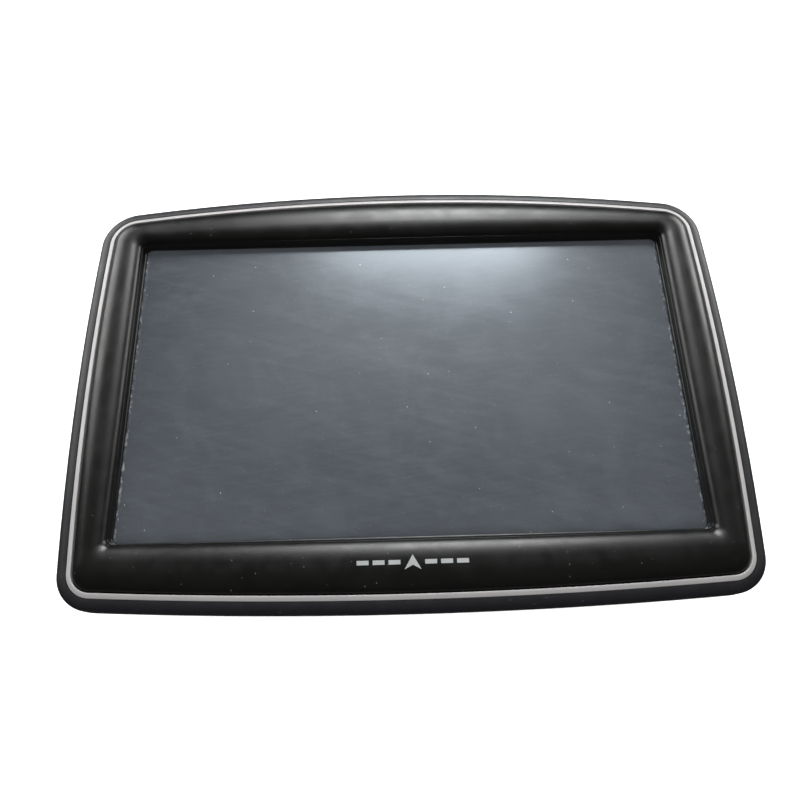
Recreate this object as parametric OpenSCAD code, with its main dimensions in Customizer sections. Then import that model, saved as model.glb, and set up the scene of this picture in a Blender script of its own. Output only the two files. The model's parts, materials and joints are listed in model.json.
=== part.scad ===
// Portable navigator for a car: a 5-inch touch screen in a flat, pebble-shaped case.
// It lies on its back, screen up: +X is its width, +Y points to its top edge, +Z out of the screen.
// The origin is under the middle of the case, on the face of the round boss on its back.

/* [Case] */
// Width of the case at its widest line
body_w = 134.8; // [132:0.2:162]
// Height of the case, bottom edge to top edge
body_h = 92.2; // [90:0.2:111]
// Thickness of the case, rear boss to screen bezel
body_t = 22.9; // [22.5:0.1:28]
// Radius of the long arch along the top edge
top_arc_r = 460; // [400:5:900]
// Radius of the flatter arch along the bottom edge
bottom_arc_r = 1000; // [500:5:2000]
// Radius of the slight bow of the left and right edges
side_arc_r = 620; // [400:5:2000]
// Radius of the two top corners
top_corner_r = 8.6; // [6:0.1:14]
// Radius of the two bottom corners
bottom_corner_r = 7.2; // [6:0.1:14]
// Wall thickness of the rear housing
wall = 1.8; // [1.4:0.1:2.2]
// How far the back has drawn in where it meets the flat rear face
rear_taper = 14; // [10:0.5:16]
// Squareness of the curve from rim to rear face, 2 is an ellipse
rear_power = 2.6; // [2.2:0.1:4]
// Height of the widest line of the rim below the trim ring
rim_drop = 1.45; // [1:0.05:2.5]

/* [Trim and bezel] */
// Distance from the widest line in to the outer edge of the trim ring
trim_inset = 2.15; // [1.8:0.05:3]
// Width of the silver trim ring
trim_w = 1.09; // [0.8:0.05:1.6]
// How much the trim ring drops over its width
trim_drop = 0.33; // [0:0.05:0.6]
// Height of the bezel crest over the trim ring
crest_rise = 1.5; // [0.8:0.1:2.5]
// Depth of the touch film below the bezel crest
film_depth = 3.9; // [3:0.1:5]
// Height of the bezel lip above the touch film
lip_rise = 2.3; // [1.5:0.1:3]
// Width of the screen window
window_w = 112.9; // [108:0.1:114]
// Height of the screen window
window_h = 65.1; // [60:0.1:66]
// Radius of the window corners
window_corner_r = 1.2; // [0.6:0.1:3]
// How far the window sits above the middle of the case
window_y = 0.42; // [0:0.02:1]
// Width of the raised mark on the bezel
mark_w = 20.5; // [12:0.5:30]
// Height of the raised mark on the bezel
mark_h = 2.7; // [1.5:0.1:4]

/* [Screen stack] */
// Width of the touch panel
touch_w = 118.2; // [116:0.1:119]
// Height of the touch panel
touch_h = 71.4; // [69:0.1:73]
// Thickness of the touch film
film_t = 0.2; // [0.1:0.05:0.4]
// Thickness of the touch glass
glass_t = 1.1; // [0.7:0.1:1.4]
// Thickness of the tape between touch glass and display
tape_t = 0.3; // [0.2:0.1:0.5]
// Width of the display module
lcd_w = 120.7; // [118:0.1:122]
// Height of the display module
lcd_h = 75.8; // [73:0.1:77]
// Thickness of the display module
lcd_t = 3.3; // [2.8:0.1:3.6]
// Thickness of the middle frame
mid_t = 1.0; // [0.8:0.1:1.2]

/* [Electronics] */
// Gap between middle frame and main board
board_gap = 1.4; // [1.2:0.1:2]
// Thickness of the main board
board_t = 1.0; // [0.8:0.1:1.6]
// Left edge of the main board
board_left = -56; // [-58:1:-50]
// Right edge of the main board
board_right = 17; // [14:1:18]
// Width of the battery cell
battery_w = 36; // [28:1:37]
// Height of the battery cell
battery_h = 38; // [28:1:38]
// Thickness of the battery cell
battery_t = 5.2; // [3.5:0.1:5.6]
// Side of the square antenna block
antenna_w = 18; // [12:1:18]
// Thickness of the antenna block
antenna_t = 4; // [2:0.5:4]

/* [Speaker] */
// Radius of the speaker basket
speaker_r = 16.8; // [14:0.1:18]
// Depth of the speaker
speaker_t = 4.5; // [4:0.1:4.8]
// Radius of the magnet
magnet_r = 9.2; // [8:0.1:11]
// Travel of the cone to each side of rest
cone_travel = 0.4; // [0.2:0.05:0.5]

/* [Rear boss] */
// Radius of the round boss that a windscreen mount clips on
boss_r = 27.5; // [25:0.1:29]
// Height of the boss over the rear face
boss_h = 3.0; // [2.6:0.1:3.4]
// Depth of the neck under the lip of the boss
boss_neck = 1.0; // [0.6:0.1:1.4]
// Thickness of the lip of the boss
boss_lip = 1.6; // [1.2:0.1:1.8]
// Radius of one hole of the speaker grille
grille_hole_r = 0.75; // [0.5:0.05:0.9]
// Number of rings of holes round the middle hole
grille_rings = 4; // [2:1:5]

/* [Controls and sockets] */
// Distance of the power button from the middle, towards the left
button_x = 30; // [29:0.5:34]
// Width of the power button
button_w = 12; // [9:0.5:14]
// Thickness of the power button
button_t = 3.6; // [3:0.1:4]
// Travel of the power button
button_travel = 0.4; // [0.2:0.05:0.5]
// Width of the socket shell
usb_w = 7.7; // [7.5:0.1:8]
// Thickness of the socket shell
usb_t = 3.9; // [3.8:0.1:4]
// Depth of the socket shell
usb_l = 9.2; // [8:0.1:9.5]
// Width of the bay for the moulded end of a plug
bay_w = 12; // [11:0.5:14]
// Height of the bay for the moulded end of a plug
bay_h = 6.9; // [6.4:0.1:7]

/* [Fasteners] */
// Distance of the case screws from the middle, along the width
case_screw_x = 44; // [40:1:45]
// Distance of the case screws from the middle, along the height
case_screw_y = 23.6; // [23:0.1:24]
// Radius of the case screw thread
case_screw_r = 1.0; // [0.8:0.1:1.2]
// Radius of the case screw head
case_head_r = 1.9; // [1.7:0.1:2.1]
// Radius of the small frame and board screw threads
small_screw_r = 0.7; // [0.6:0.05:0.9]
// Radius of the small frame and board screw heads
small_head_r = 1.3; // [1.2:0.1:1.5]

/* [Hidden] */
$fn = 64;

// Clearances
fit_gap = 0.1;
slide_gap = 0.3;
part_gap = 0.4;
edge_gap = 0.8;
eps = 0.02;
// How far a cut runs past the face that it opens
past = 20;

// Heights, from the rear boss at zero to the bezel mark at body_t
mark_t = 0.35;
mark_proud = 0.1;
crest_z = body_t - mark_proud;
film_z = body_t - film_depth;
lip_z = film_z + lip_rise;
trim_z = crest_z - crest_rise;
trim_low_z = trim_z - trim_drop;
rim_z = trim_low_z - rim_drop;
ledge_depth = 1.0;
ledge_z = trim_low_z - ledge_depth;
skirt_depth = 0.9;
skirt_z = film_z - skirt_depth;
gasket_t = 0.4;
glass_top_z = film_z - film_t;
tape_top_z = glass_top_z - glass_t;
lcd_top_z = tape_top_z - tape_t;
mid_top_z = lcd_top_z - lcd_t;
mid_z = mid_top_z - mid_t;
board_top_z = mid_z - board_gap;
board_z = board_top_z - board_t;
back_z = boss_h;
floor_z = back_z + wall;
boss_floor_z = wall;

// Insets of the rim, trim and bezel from the widest line
ledge_inset = trim_inset + trim_w + fit_gap;
skirt_inset = ledge_inset + fit_gap;

// Segments along each stretch of half an outline
n_bottom = 7;
n_corner = 6;
n_side = 5;
n_top = 8;
rear_steps = 9;

// Centres of the arcs that make the outline
side_y = 3;
side_c = [body_w / 2 - side_arc_r, side_y];
top_c = [0, body_h / 2 - top_arc_r];
bottom_c = [0, bottom_arc_r - body_h / 2];

function dir(a) = [cos(a), sin(a)];
function angle_of(p) = atan2(p[1], p[0]);
function mix(a, b, f) = a + (b - a) * f;
function arc(c, r, from, to, n, first) = [for (i = [first:n]) c + r * dir(mix(from, to, i / n))];

// The meeting point of two circles that lies furthest right
function meet(c1, r1, c2, r2) =
    let (d = norm(c2 - c1),
         u = (c2 - c1) / d,
         a = (r1 * r1 - r2 * r2 + d * d) / (2 * d),
         h = sqrt(r1 * r1 - a * a),
         v = h * [-u[1], u[0]])
    c1 + a * u + (v[0] > 0 ? v : -v);

// Right half of the outline from bottom middle to top middle, drawn in by inset
function half_outline(inset, r_top, r_bottom) =
    let (side_r = side_arc_r - inset,
         low_r = bottom_arc_r - inset,
         high_r = top_arc_r - inset,
         low = meet(bottom_c, low_r - r_bottom, side_c, side_r - r_bottom),
         high = meet(top_c, high_r - r_top, side_c, side_r - r_top),
         a1 = angle_of(low - bottom_c),
         a2 = angle_of(low - side_c),
         a3 = angle_of(high - side_c),
         a4 = angle_of(high - top_c))
    concat(arc(bottom_c, low_r, -90, a1, n_bottom, 0),
           arc(low, r_bottom, a1, a2, n_corner, 1),
           arc(side_c, side_r, a2, a3, n_side, 1),
           arc(high, r_top, a3, a4, n_corner, 1),
           arc(top_c, high_r, a4, 90, n_top, 1));

function line(from, to, n, first) = [for (i = [first:n]) mix(from, to, i / n)];

// Right half of a rounded rectangle, with the same count of points as half_outline
function half_rectangle(w, h, r, y) =
    let (x = w / 2, low = y - h / 2, high = y + h / 2)
    concat(line([0, low], [x - r, low], n_bottom, 0),
           arc([x - r, low + r], r, -90, 0, n_corner, 1),
           line([x, low + r], [x, high - r], n_side, 1),
           arc([x - r, high - r], r, 0, 90, n_corner, 1),
           line([x - r, high], [0, high], n_top, 1));

function whole(half) = concat(half, [for (i = [len(half) - 2:-1:1]) [-half[i][0], half[i][1]]]);
function at_height(points, z) = [for (p = points) [p[0], p[1], z]];

// Outline drawn in by a small inset, with corners that keep their centres
function rim_ring(inset, z) =
    at_height(whole(half_outline(inset, top_corner_r - inset, bottom_corner_r - inset)), z);

// Outline of the rear of the case, with corners that grow as the back draws in
corner_growth = 0.9;
function rear_outline(inset, thick) =
    let (grow = corner_growth * (inset - thick) - thick)
    whole(half_outline(inset, max(top_corner_r + grow, 2), max(bottom_corner_r + grow, 2)));

// Share of the taper reached at a share u of the depth
function taper_share(u) = 1 - pow(1 - pow(u, rear_power), 1 / rear_power);

// Inset of the housing's inner face at a height
function inner_inset(z) =
    wall + (rear_taper - wall) * taper_share(min(1, (rim_z - z) / (rim_z - floor_z)));

// Rings from the rim down to a flat floor, for the outer (thick 0) or the inner face
function rear_ring(i, thick, bottom) =
    let (share_z = pow(sin(90 * i / rear_steps), 2 / rear_power),
         share_in = 1 - pow(cos(90 * i / rear_steps), 2 / rear_power))
    at_height(rear_outline(mix(thick, rear_taper, share_in), thick), mix(rim_z, bottom, share_z));

// Closed solid through a list of rings, with a flat cap at each end
module loft(rings) {
    count = len(rings[0]);
    last = len(rings) - 1;
    sides = [for (j = [0:last - 1], i = [0:count - 1])
        let (n = (i + 1) % count)
        each [[j * count + i, j * count + n, (j + 1) * count + i],
              [j * count + n, (j + 1) * count + n, (j + 1) * count + i]]];
    first_cap = [[for (i = [count - 1:-1:0]) i]];
    last_cap = [[for (i = [0:count - 1]) last * count + i]];
    polyhedron([for (r = rings) each r], concat([for (f = sides) [f[2], f[1], f[0]]],
        [for (f = first_cap) [for (k = [count - 1:-1:0]) f[k]]],
        [for (f = last_cap) [for (k = [count - 1:-1:0]) f[k]]]), convexity = 8);
}

// Closed frame through a list of rings, the last joined back to the first
module frame_loft(rings) {
    count = len(rings[0]);
    total = len(rings);
    polyhedron([for (r = rings) each r],
        [for (j = [0:total - 1], i = [0:count - 1])
            let (n = (i + 1) % count, m = (j + 1) % total)
            each [[m * count + i, j * count + n, j * count + i],
                  [m * count + i, m * count + n, j * count + n]]], convexity = 8);
}

module block(size, centre) {
    translate(centre - size / 2) cube(size);
}

// Rounded plate, w by h, standing on z
module plate(w, h, r, t, centre, z) {
    translate([centre[0], centre[1], z]) linear_extrude(t) {
        square([w - 2 * r, h], center = true);
        square([w, h - 2 * r], center = true);
        for (sx = [-1, 1], sy = [-1, 1])
            translate([sx * (w / 2 - r), sy * (h / 2 - r)]) circle(r);
    }
}

module post(r, at, z1, z2) {
    translate([at[0], at[1], z1]) cylinder(h = z2 - z1, r = r);
}

// A tube between two radii and two heights
module tube(r_out, r_in, z1, z2) {
    rotate_extrude() translate([r_in, z1]) square([r_out - r_in, z2 - z1]);
}

// A screw driven upwards: its cross-slotted head hangs below z and its shank reaches tip_z
module screw(at, r, head_r, head_t, z, tip_z) {
    slot_w = r * 0.5;
    translate([at[0], at[1], z]) {
        difference() {
            translate([0, 0, -head_t]) cylinder(h = head_t, r = head_r);
            for (a = [0, 90]) rotate(a) block([2 * r, slot_w, head_t], [0, 0, -head_t]);
        }
        translate([0, 0, -eps]) cylinder(h = tip_z - z + eps, r = r);
    }
}

// ---- Bezel, trim and case ----

// The bezel's surface runs from the trim (share 0) to the window edge (share 1)
crest_from = 0.46;
crest_to = 0.53;
lip_share = 0.92;
lip_end = 0.945;
foot_share = 0.975;
foot_rise = 0.5;
lip_drop = 0.1;
foot_drop = 0.2;
roll_depth = 0.5;
bezel_low_z = trim_z - roll_depth;
window_half = half_rectangle(window_w, window_h, window_corner_r, window_y);
bezel_edge = half_outline(skirt_inset, top_corner_r - skirt_inset, bottom_corner_r - skirt_inset);

function bezel_ring(share, z) =
    at_height(whole([for (i = [0:len(bezel_edge) - 1]) mix(bezel_edge[i], window_half[i], share)]), z);

roll_steps = 7;
bezel_shell = 1.5;
hollow_from = 0.16;
hollow_to = 0.56;
hollow_drop = 0.5;
border_share = 0.72;
post_r = 1.6;
post_x = 20;
post_short = 0.3;
post_hole = 4;

// Quarter ellipses rise from the trim to the crest and fall from it to the lip
module bezel_surface() {
    frame_loft(concat(
        [bezel_ring(0, skirt_z)],
        [for (i = [0:roll_steps]) let (a = 90 * i / roll_steps)
            bezel_ring(crest_from * (1 - cos(a)), mix(bezel_low_z, crest_z, sin(a)))],
        [for (i = [0:roll_steps]) let (a = 90 * i / roll_steps)
            bezel_ring(mix(crest_to, lip_share, sin(a)), mix(lip_z, crest_z, cos(a)))],
        [bezel_ring(lip_end, lip_z - lip_drop),
         bezel_ring(foot_share, film_z + gasket_t + foot_rise),
         bezel_ring(1, film_z + gasket_t + foot_rise - foot_drop),
         bezel_ring(1, film_z + gasket_t),
         bezel_ring(border_share, film_z + gasket_t),
         bezel_ring(hollow_to, crest_z - bezel_shell - hollow_drop),
         bezel_ring(crest_from, crest_z - bezel_shell),
         bezel_ring(hollow_from, trim_z - bezel_shell),
         bezel_ring(hollow_from, skirt_z)]));
}

lcd_top_y = window_y + lcd_h / 2;
lcd_low_y = window_y - lcd_h / 2;
frame_posts = [for (sx = [-1, 1]) each [[sx * post_x, lcd_top_y + part_gap + post_r],
                                        [sx * post_x, lcd_low_y - part_gap - post_r]]];

module front_bezel() {
    color([0.07, 0.07, 0.065]) difference() {
        union() {
            bezel_surface();
            for (p = frame_posts) post(post_r, p, mid_top_z, crest_z - bezel_shell - post_short);
        }
        for (p = frame_posts) post(small_screw_r, p, mid_top_z - 1, mid_top_z + post_hole);
    }
}

trim_edge = 0.08;

module trim_ring() {
    color([0.82, 0.82, 0.81]) frame_loft([
        rim_ring(trim_inset + fit_gap, ledge_z),
        rim_ring(trim_inset + fit_gap, trim_low_z - trim_edge),
        rim_ring(trim_inset + fit_gap + trim_edge, trim_low_z),
        rim_ring(trim_inset + trim_w - trim_edge, trim_z),
        rim_ring(trim_inset + trim_w, trim_z - trim_edge),
        rim_ring(trim_inset + trim_w, ledge_z)]);
}

// The mark stands halfway between the lower edges of the bezel and the window
mark_y = (skirt_inset - body_h / 2 + window_y - window_h / 2) / 2;
mark_dashes = 3;
dash_share = 0.75;
lane_gap = 0.7;

// Generic mark: a heading arrow in the middle of a dashed lane line
module bezel_mark() {
    arrow_w = mark_h * 1.15;
    notch_h = mark_h * 0.3;
    lane_from = arrow_w / 2 + lane_gap;
    pitch = (mark_w / 2 - lane_from) / (mark_dashes - 1 + dash_share);
    dash_w = pitch * dash_share;
    dash_h = mark_h * 0.3;
    color([0.72, 0.73, 0.73]) translate([0, mark_y, body_t - mark_t]) linear_extrude(mark_t) {
        polygon([[0, mark_h / 2], [arrow_w / 2, -mark_h / 2], [0, notch_h - mark_h / 2],
                 [-arrow_w / 2, -mark_h / 2]]);
        for (side = [-1, 1], k = [0:mark_dashes - 1])
            translate([side * (lane_from + k * pitch + dash_w / 2), 0])
                square([dash_w, dash_h], center = true);
    }
}

usb_x = 0;
usb_z = board_z - usb_t / 2;
bay_depth = 5.4;
usb_mouth_y = -body_h / 2 + bay_depth;
bay_wall = 1.6;
button_drop = 1.0;
button_z = board_z - button_drop;
button_edge_y = body_h / 2 - button_x * button_x / (2 * top_arc_r);
seat_depth = 4.2;
button_seat_y = button_edge_y - seat_depth;
button_block_w = button_w + 5;
button_block_h = button_t + 2.8;
case_screws_at = [for (sx = [-1, 1], sy = [-1, 1]) [sx * case_screw_x, sy * case_screw_y]];
tower_r = 3.2;
tower_rise = 2.4;
tower_top_z = floor_z + tower_rise;
head_depth = 2.2;
screw_seat_z = back_z + head_depth;
label_size = [15, 26];
label_at = [-40.5, 0];
label_t = 0.25;
label_recess = 0.3;
boss_edge = 0.4;
grille_margin = 3;
speaker_ring_w = 1.2;
ring_clear = 0.2;
screw_clear = 0.15;
label_r = 1.5;
label_gap = 0.2;
shoulder_steps = 4;
skirt_clear = 0.2;
skirt_run = 2;
cup_r = boss_r - boss_neck - wall;

module rear_shell() {
    loft(concat(
        [for (i = [rear_steps:-1:0]) rear_ring(i, 0, back_z)],
        [for (i = [1:shoulder_steps]) let (a = 90 * i / shoulder_steps)
            rim_ring(trim_inset * (1 - cos(a)), mix(rim_z, trim_low_z, sin(a)))],
        [rim_ring(trim_inset, ledge_z),
         rim_ring(ledge_inset, ledge_z),
         rim_ring(ledge_inset, skirt_z - skirt_clear),
         rim_ring(wall, skirt_z - skirt_clear - skirt_run)],
        [for (i = [2:rear_steps]) rear_ring(i, wall, floor_z)]));
}

module rear_solid() {
    loft([for (i = [rear_steps:-1:0]) rear_ring(i, 0, back_z)]);
}

// Thickened places behind the socket bay and the button hole, trimmed to the case's outside
module wall_blocks() {
    bay_back_y = usb_mouth_y + bay_wall;
    bay_block_h = bay_h + 2 * bay_wall;
    intersection() {
        rear_solid();
        union() {
            translate([usb_x - bay_w / 2 - bay_wall, -body_h / 2 - 1, usb_z - bay_block_h / 2])
                cube([bay_w + 2 * bay_wall, bay_back_y + body_h / 2 + 1, bay_block_h]);
            translate([-button_x - button_block_w / 2, button_seat_y, button_z - button_block_h / 2])
                cube([button_block_w, body_h / 2 - button_seat_y + 1, button_block_h]);
        }
    }
}

// A flat-sided oval bar along Y, wide in X, from y1 to y2
module oval_bar(w, t, at_x, at_z, y1, y2) {
    translate([at_x, y2, at_z]) rotate([90, 0, 0]) {
        translate([-(w - t) / 2, -t / 2, 0]) cube([w - t, t, y2 - y1]);
        for (sx = [-1, 1]) translate([sx * (w - t) / 2, 0, 0]) cylinder(h = y2 - y1, r = t / 2);
    }
}

module boss() {
    neck_r = boss_r - boss_neck;
    rotate_extrude($fn = 128) polygon([
        [0, 0], [boss_r - boss_edge, 0], [boss_r, boss_edge], [boss_r, boss_lip],
        [neck_r, boss_lip], [neck_r, back_z + wall / 2], [0, back_z + wall / 2]]);
}

module grille_holes() {
    pitch = (speaker_r - grille_margin) / (grille_rings + 0.5);
    post(grille_hole_r, [0, 0], -1, boss_floor_z + 1);
    for (ring = [1:grille_rings], k = [0:6 * ring - 1])
        post(grille_hole_r, ring * pitch * dir(60 * k / ring), -1, boss_floor_z + 1);
}

module rear_housing() {
    color([0.16, 0.16, 0.17]) difference() {
        union() {
            rear_shell();
            wall_blocks();
            boss();
            for (p = case_screws_at) post(tower_r, p, back_z + wall / 2, tower_top_z);
        }
        difference() {
            post(cup_r, [0, 0], boss_floor_z, floor_z + eps);
            tube(speaker_r + slide_gap + speaker_ring_w, speaker_r + slide_gap, boss_floor_z - 1,
                floor_z - ring_clear);
        }
        grille_holes();
        block([bay_w, body_h, bay_h], [usb_x, usb_mouth_y - body_h / 2, usb_z]);
        block([usb_w + 2 * slide_gap, past / 2, usb_t + 2 * slide_gap], [usb_x, usb_mouth_y, usb_z]);
        oval_bar(button_w + 2 * slide_gap, button_t + 2 * slide_gap, -button_x, button_z,
            button_seat_y - 1, body_h / 2 + 1);
        oval_bar(flange_w + 2 * slide_gap, flange_h + 2 * slide_gap, -button_x, button_z,
            flange_y - flange_t - button_travel - 2, button_seat_y);
        for (p = case_screws_at) {
            post(case_head_r + slide_gap, p, back_z - 1, screw_seat_z);
            post(case_screw_r + screw_clear, p, back_z, tower_top_z + 1);
        }
        plate(label_size[0], label_size[1], label_r, label_recess + 1, label_at, back_z - 1);
    }
}

module rear_label() {
    color([0.62, 0.63, 0.64])
        plate(label_size[0] - 2 * label_gap, label_size[1] - 2 * label_gap,
            label_r - label_gap, label_t, label_at,
            back_z + label_recess - label_t);
}

// ---- Screen stack ----

module screen_gasket() {
    color([0.1, 0.1, 0.1]) difference() {
        plate(touch_w - 0.6, touch_h - 0.6, 1.5, gasket_t, [0, window_y], film_z);
        plate(window_w + 1, window_h + 1, 1.5, gasket_t + 2, [0, window_y], film_z - 1);
    }
}

module touch_film() {
    color([0.3, 0.33, 0.37]) plate(touch_w, touch_h, 1, film_t, [0, window_y], glass_top_z);
}

module touch_glass() {
    color([0.35, 0.42, 0.45]) plate(touch_w, touch_h, 1, glass_t, [0, window_y], tape_top_z);
}

// How much wider than the window the panels' openings are
view_margin = 1.4;

module touch_tape() {
    color([0.12, 0.12, 0.12]) difference() {
        plate(touch_w, touch_h, 1, tape_t, [0, window_y], lcd_top_z);
        plate(window_w + view_margin, window_h + view_margin, 1, tape_t + 2, [0, window_y], lcd_top_z - 1);
    }
}

lcd_frame_t = 0.3;
lcd_glass_t = 1.2;
lcd_fit = 0.05;

module lcd_frame() {
    color([0.7, 0.71, 0.72]) difference() {
        plate(lcd_w, lcd_h, 0.8, lcd_t, [0, window_y], mid_top_z);
        plate(lcd_w - 2 * lcd_frame_t, lcd_h - 2 * lcd_frame_t, 0.5, lcd_t - lcd_frame_t + 1,
            [0, window_y], mid_top_z - 1);
        plate(window_w + view_margin, window_h + view_margin, 0.8, lcd_t + 2, [0, window_y], mid_top_z - 1);
    }
}

module lcd_glass() {
    inner = 2 * (lcd_frame_t + lcd_fit);
    color([0.08, 0.09, 0.11])
        plate(lcd_w - inner, lcd_h - inner, 0.4, lcd_glass_t, [0, window_y],
            lcd_top_z - lcd_frame_t - lcd_glass_t);
}

module backlight() {
    inner = 2 * (lcd_frame_t + lcd_fit);
    color([0.9, 0.9, 0.86])
        plate(lcd_w - inner, lcd_h - inner, 0.4, lcd_t - lcd_frame_t - lcd_glass_t,
            [0, window_y], mid_top_z);
}

// A flat tail that leaves a panel at its lower edge, turns down past it and in to the board
tail_t = 0.15;
tail_gap = 1.1;
tail_y = lcd_low_y - tail_gap;
connector_t = 1.0;
connector_l = 3;
tail_reach = 3.2;

module tail(x1, x2, from_y, from_z) {
    end_z = board_top_z + connector_t / 2;
    translate([x1, 0, 0]) rotate([90, 0, 90]) linear_extrude(x2 - x1) polygon([
        [from_y, from_z], [tail_y, from_z], [tail_y, end_z], [tail_y + tail_reach, end_z],
        [tail_y + tail_reach, end_z + tail_t], [tail_y + tail_t, end_z + tail_t],
        [tail_y + tail_t, from_z - tail_t], [from_y, from_z - tail_t]]);
}

touch_tail_x = [-38, -27];
lcd_tail_x = [-16, 4];

module touch_tail() {
    color([0.75, 0.5, 0.2])
        tail(touch_tail_x[0], touch_tail_x[1], window_y - touch_h / 2, tape_top_z + 2 * tail_t);
}

module lcd_tail() {
    color([0.75, 0.5, 0.2])
        tail(lcd_tail_x[0], lcd_tail_x[1], lcd_low_y, mid_top_z + 1);
}

// ---- Middle frame and board ----

mid_margin = 0.9;
mid_inset = inner_inset(mid_z) + edge_gap + mid_margin;
standoff_r = 2.4;
board_screws_at = [[-49, 32], [12, -31], [-49, -32]];
mid_post_r = 2.6;
mid_window = [22, 44];
mid_window_r = 3;
mid_window_pitch = 30;
slot_w = 1.6;

module tail_slot(x) {
    block([x[1] - x[0] + 1, slot_w, mid_t + 2], [(x[0] + x[1]) / 2, tail_y, mid_z + mid_t / 2]);
}

module mid_frame() {
    color([0.55, 0.56, 0.57]) difference() {
        union() {
            translate([0, 0, mid_z]) linear_extrude(mid_t)
                polygon(whole(half_outline(mid_inset, top_corner_r, bottom_corner_r)));
            for (p = case_screws_at) post(mid_post_r, p, tower_top_z, mid_z + mid_t / 2);
            for (p = board_screws_at) post(standoff_r, p, board_top_z, mid_z + mid_t / 2);
        }
        for (p = frame_posts) post(small_screw_r + screw_clear, p, mid_z - 1, mid_top_z + 1);
        for (p = case_screws_at) post(case_screw_r, p, tower_top_z - 1, tower_top_z + 5);
        for (p = board_screws_at) post(small_screw_r, p, board_top_z - 1, mid_z - 0.2);
        tail_slot(touch_tail_x);
        tail_slot(lcd_tail_x);
        block([bay_w + 2 * bay_wall + 2 * edge_gap, past, past / 2],
            [usb_x, usb_mouth_y + bay_wall + edge_gap - past / 2, mid_z]);
        for (k = [-1:1])
            plate(mid_window[0], mid_window[1], mid_window_r, mid_t + 2,
                [k * mid_window_pitch, window_y], mid_z - 1);
    }
}

// Thickness of the screw heads, and how far each kind of screw reaches into its post
small_head_t = 0.8;
case_head_t = 1.3;
frame_bite = 3.6;
case_bite = 4.4;
board_bite = 1.1;

module frame_screws() {
    color([0.6, 0.6, 0.62])
        for (p = frame_posts)
            screw(p, small_screw_r, small_head_r, small_head_t, mid_z, mid_top_z + frame_bite);
}

module case_screws() {
    color([0.35, 0.35, 0.37])
        for (p = case_screws_at)
            screw(p, case_screw_r, case_head_r, case_head_t, screw_seat_z, tower_top_z + case_bite);
}

module board_screws() {
    color([0.6, 0.6, 0.62])
        for (p = board_screws_at)
            screw(p, small_screw_r, small_head_r, small_head_t, board_z, board_top_z + board_bite);
}

board_inset = inner_inset(board_z) + edge_gap;

module main_board() {
    bay_half = bay_w / 2 + bay_wall + edge_gap;
    button_half = button_block_w / 2 + edge_gap;
    button_notch_y = flange_y - flange_t - button_travel - slide_gap;
    color([0.06, 0.27, 0.2]) translate([0, 0, board_z]) difference() {
        linear_extrude(board_t) intersection() {
            polygon(whole(half_outline(board_inset, top_corner_r, bottom_corner_r)));
            translate([board_left, -body_h / 2]) square([board_right - board_left, body_h]);
        }
        block([2 * bay_half, past, past / 2], [usb_x, usb_mouth_y + bay_wall + edge_gap - past / 2, 0]);
        block([2 * button_half, past, past / 2], [-button_x, button_notch_y + past / 2, 0]);
        for (p = case_screws_at) post(mid_post_r + 0.6, p, -1, board_t + 1);
        for (p = board_screws_at) post(small_screw_r + 0.2, p, -1, board_t + 1);
    }
}

// Parts hang below the board; each size is [width, height, thickness]
chip_r = 0.3;
processor_size = [14, 14, 1.2];
processor_at = [-36, 4];
memory_size = [10, 12.5, 1.1];
memory_at = [-21, 12];
storage_size = [12, 8, 1.0];
storage_at = [-36, -10];
shield_size = [18, 12, 2.4];
shield_at = [-14, 28];
shield_t = 0.3;
power_chip_size = [7, 7, 0.9];
power_chip_at = [6, -24];
coil_sizes = [[5, 5, 2.2], [4, 4, 1.6]];
coils_at = [[-4, -27], [-12, -30]];
capacitor_size = [2.4, 1.4, 0.8];
capacitors_from = [-52.5, -18];
resistor_size = [1.2, 2.2, 0.8];
resistors_from = [[-50, 17], [-28, -22]];
resistor_counts = [6, 4];
row_pitches = [4, 3];

module chip(size, at) {
    plate(size[0], size[1], chip_r, size[2], at, board_z - size[2]);
}

module processor() {
    color([0.1, 0.1, 0.11]) chip(processor_size, processor_at);
}

module memory_chips() {
    color([0.1, 0.1, 0.11]) {
        chip(memory_size, memory_at);
        chip(storage_size, storage_at);
    }
}

module receiver_shield() {
    inside = shield_size - shield_t * [2, 2, 1];
    color([0.75, 0.76, 0.77]) difference() {
        chip(shield_size, shield_at);
        plate(inside[0], inside[1], chip_r / 2, inside[2], shield_at, board_z - inside[2] + eps);
    }
}

module power_chip() {
    color([0.1, 0.1, 0.11]) chip(power_chip_size, power_chip_at);
}

// Coils, capacitors and small resistors in short rows
module board_parts() {
    color([0.45, 0.4, 0.34]) {
        for (k = [0:1]) chip(coil_sizes[k], coils_at[k]);
        for (k = [0:4]) chip(capacitor_size, capacitors_from + [0, k * row_pitches[0]]);
        for (row = [0:1], k = [0:resistor_counts[row] - 1])
            chip(resistor_size, resistors_from[row] + [k * row_pitches[row], 0]);
    }
}

module connector(x) {
    block([x[1] - x[0] + 3, connector_l, connector_t],
        [(x[0] + x[1]) / 2, tail_y + tail_reach + connector_l / 2 - 1, board_top_z + connector_t / 2]);
}

module tail_connectors() {
    color([0.88, 0.86, 0.8]) difference() {
        union() {
            connector(touch_tail_x);
            connector(lcd_tail_x);
        }
        for (x = [touch_tail_x, lcd_tail_x])
            block([x[1] - x[0] + 0.2, 2.4, tail_t + 0.05],
                [(x[0] + x[1]) / 2, tail_y + tail_reach - 1, board_top_z + connector_t / 2 + tail_t / 2]);
    }
}

antenna_at = [7, 29.4];
electrode_inset = 2;
pin_r = 0.9;
pin_offset = [1.5, 0];
pin_l = 0.4;

module gps_antenna() {
    color([0.8, 0.78, 0.7]) plate(antenna_w, antenna_w, 0.6, antenna_t, antenna_at, board_z - antenna_t);
}

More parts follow.
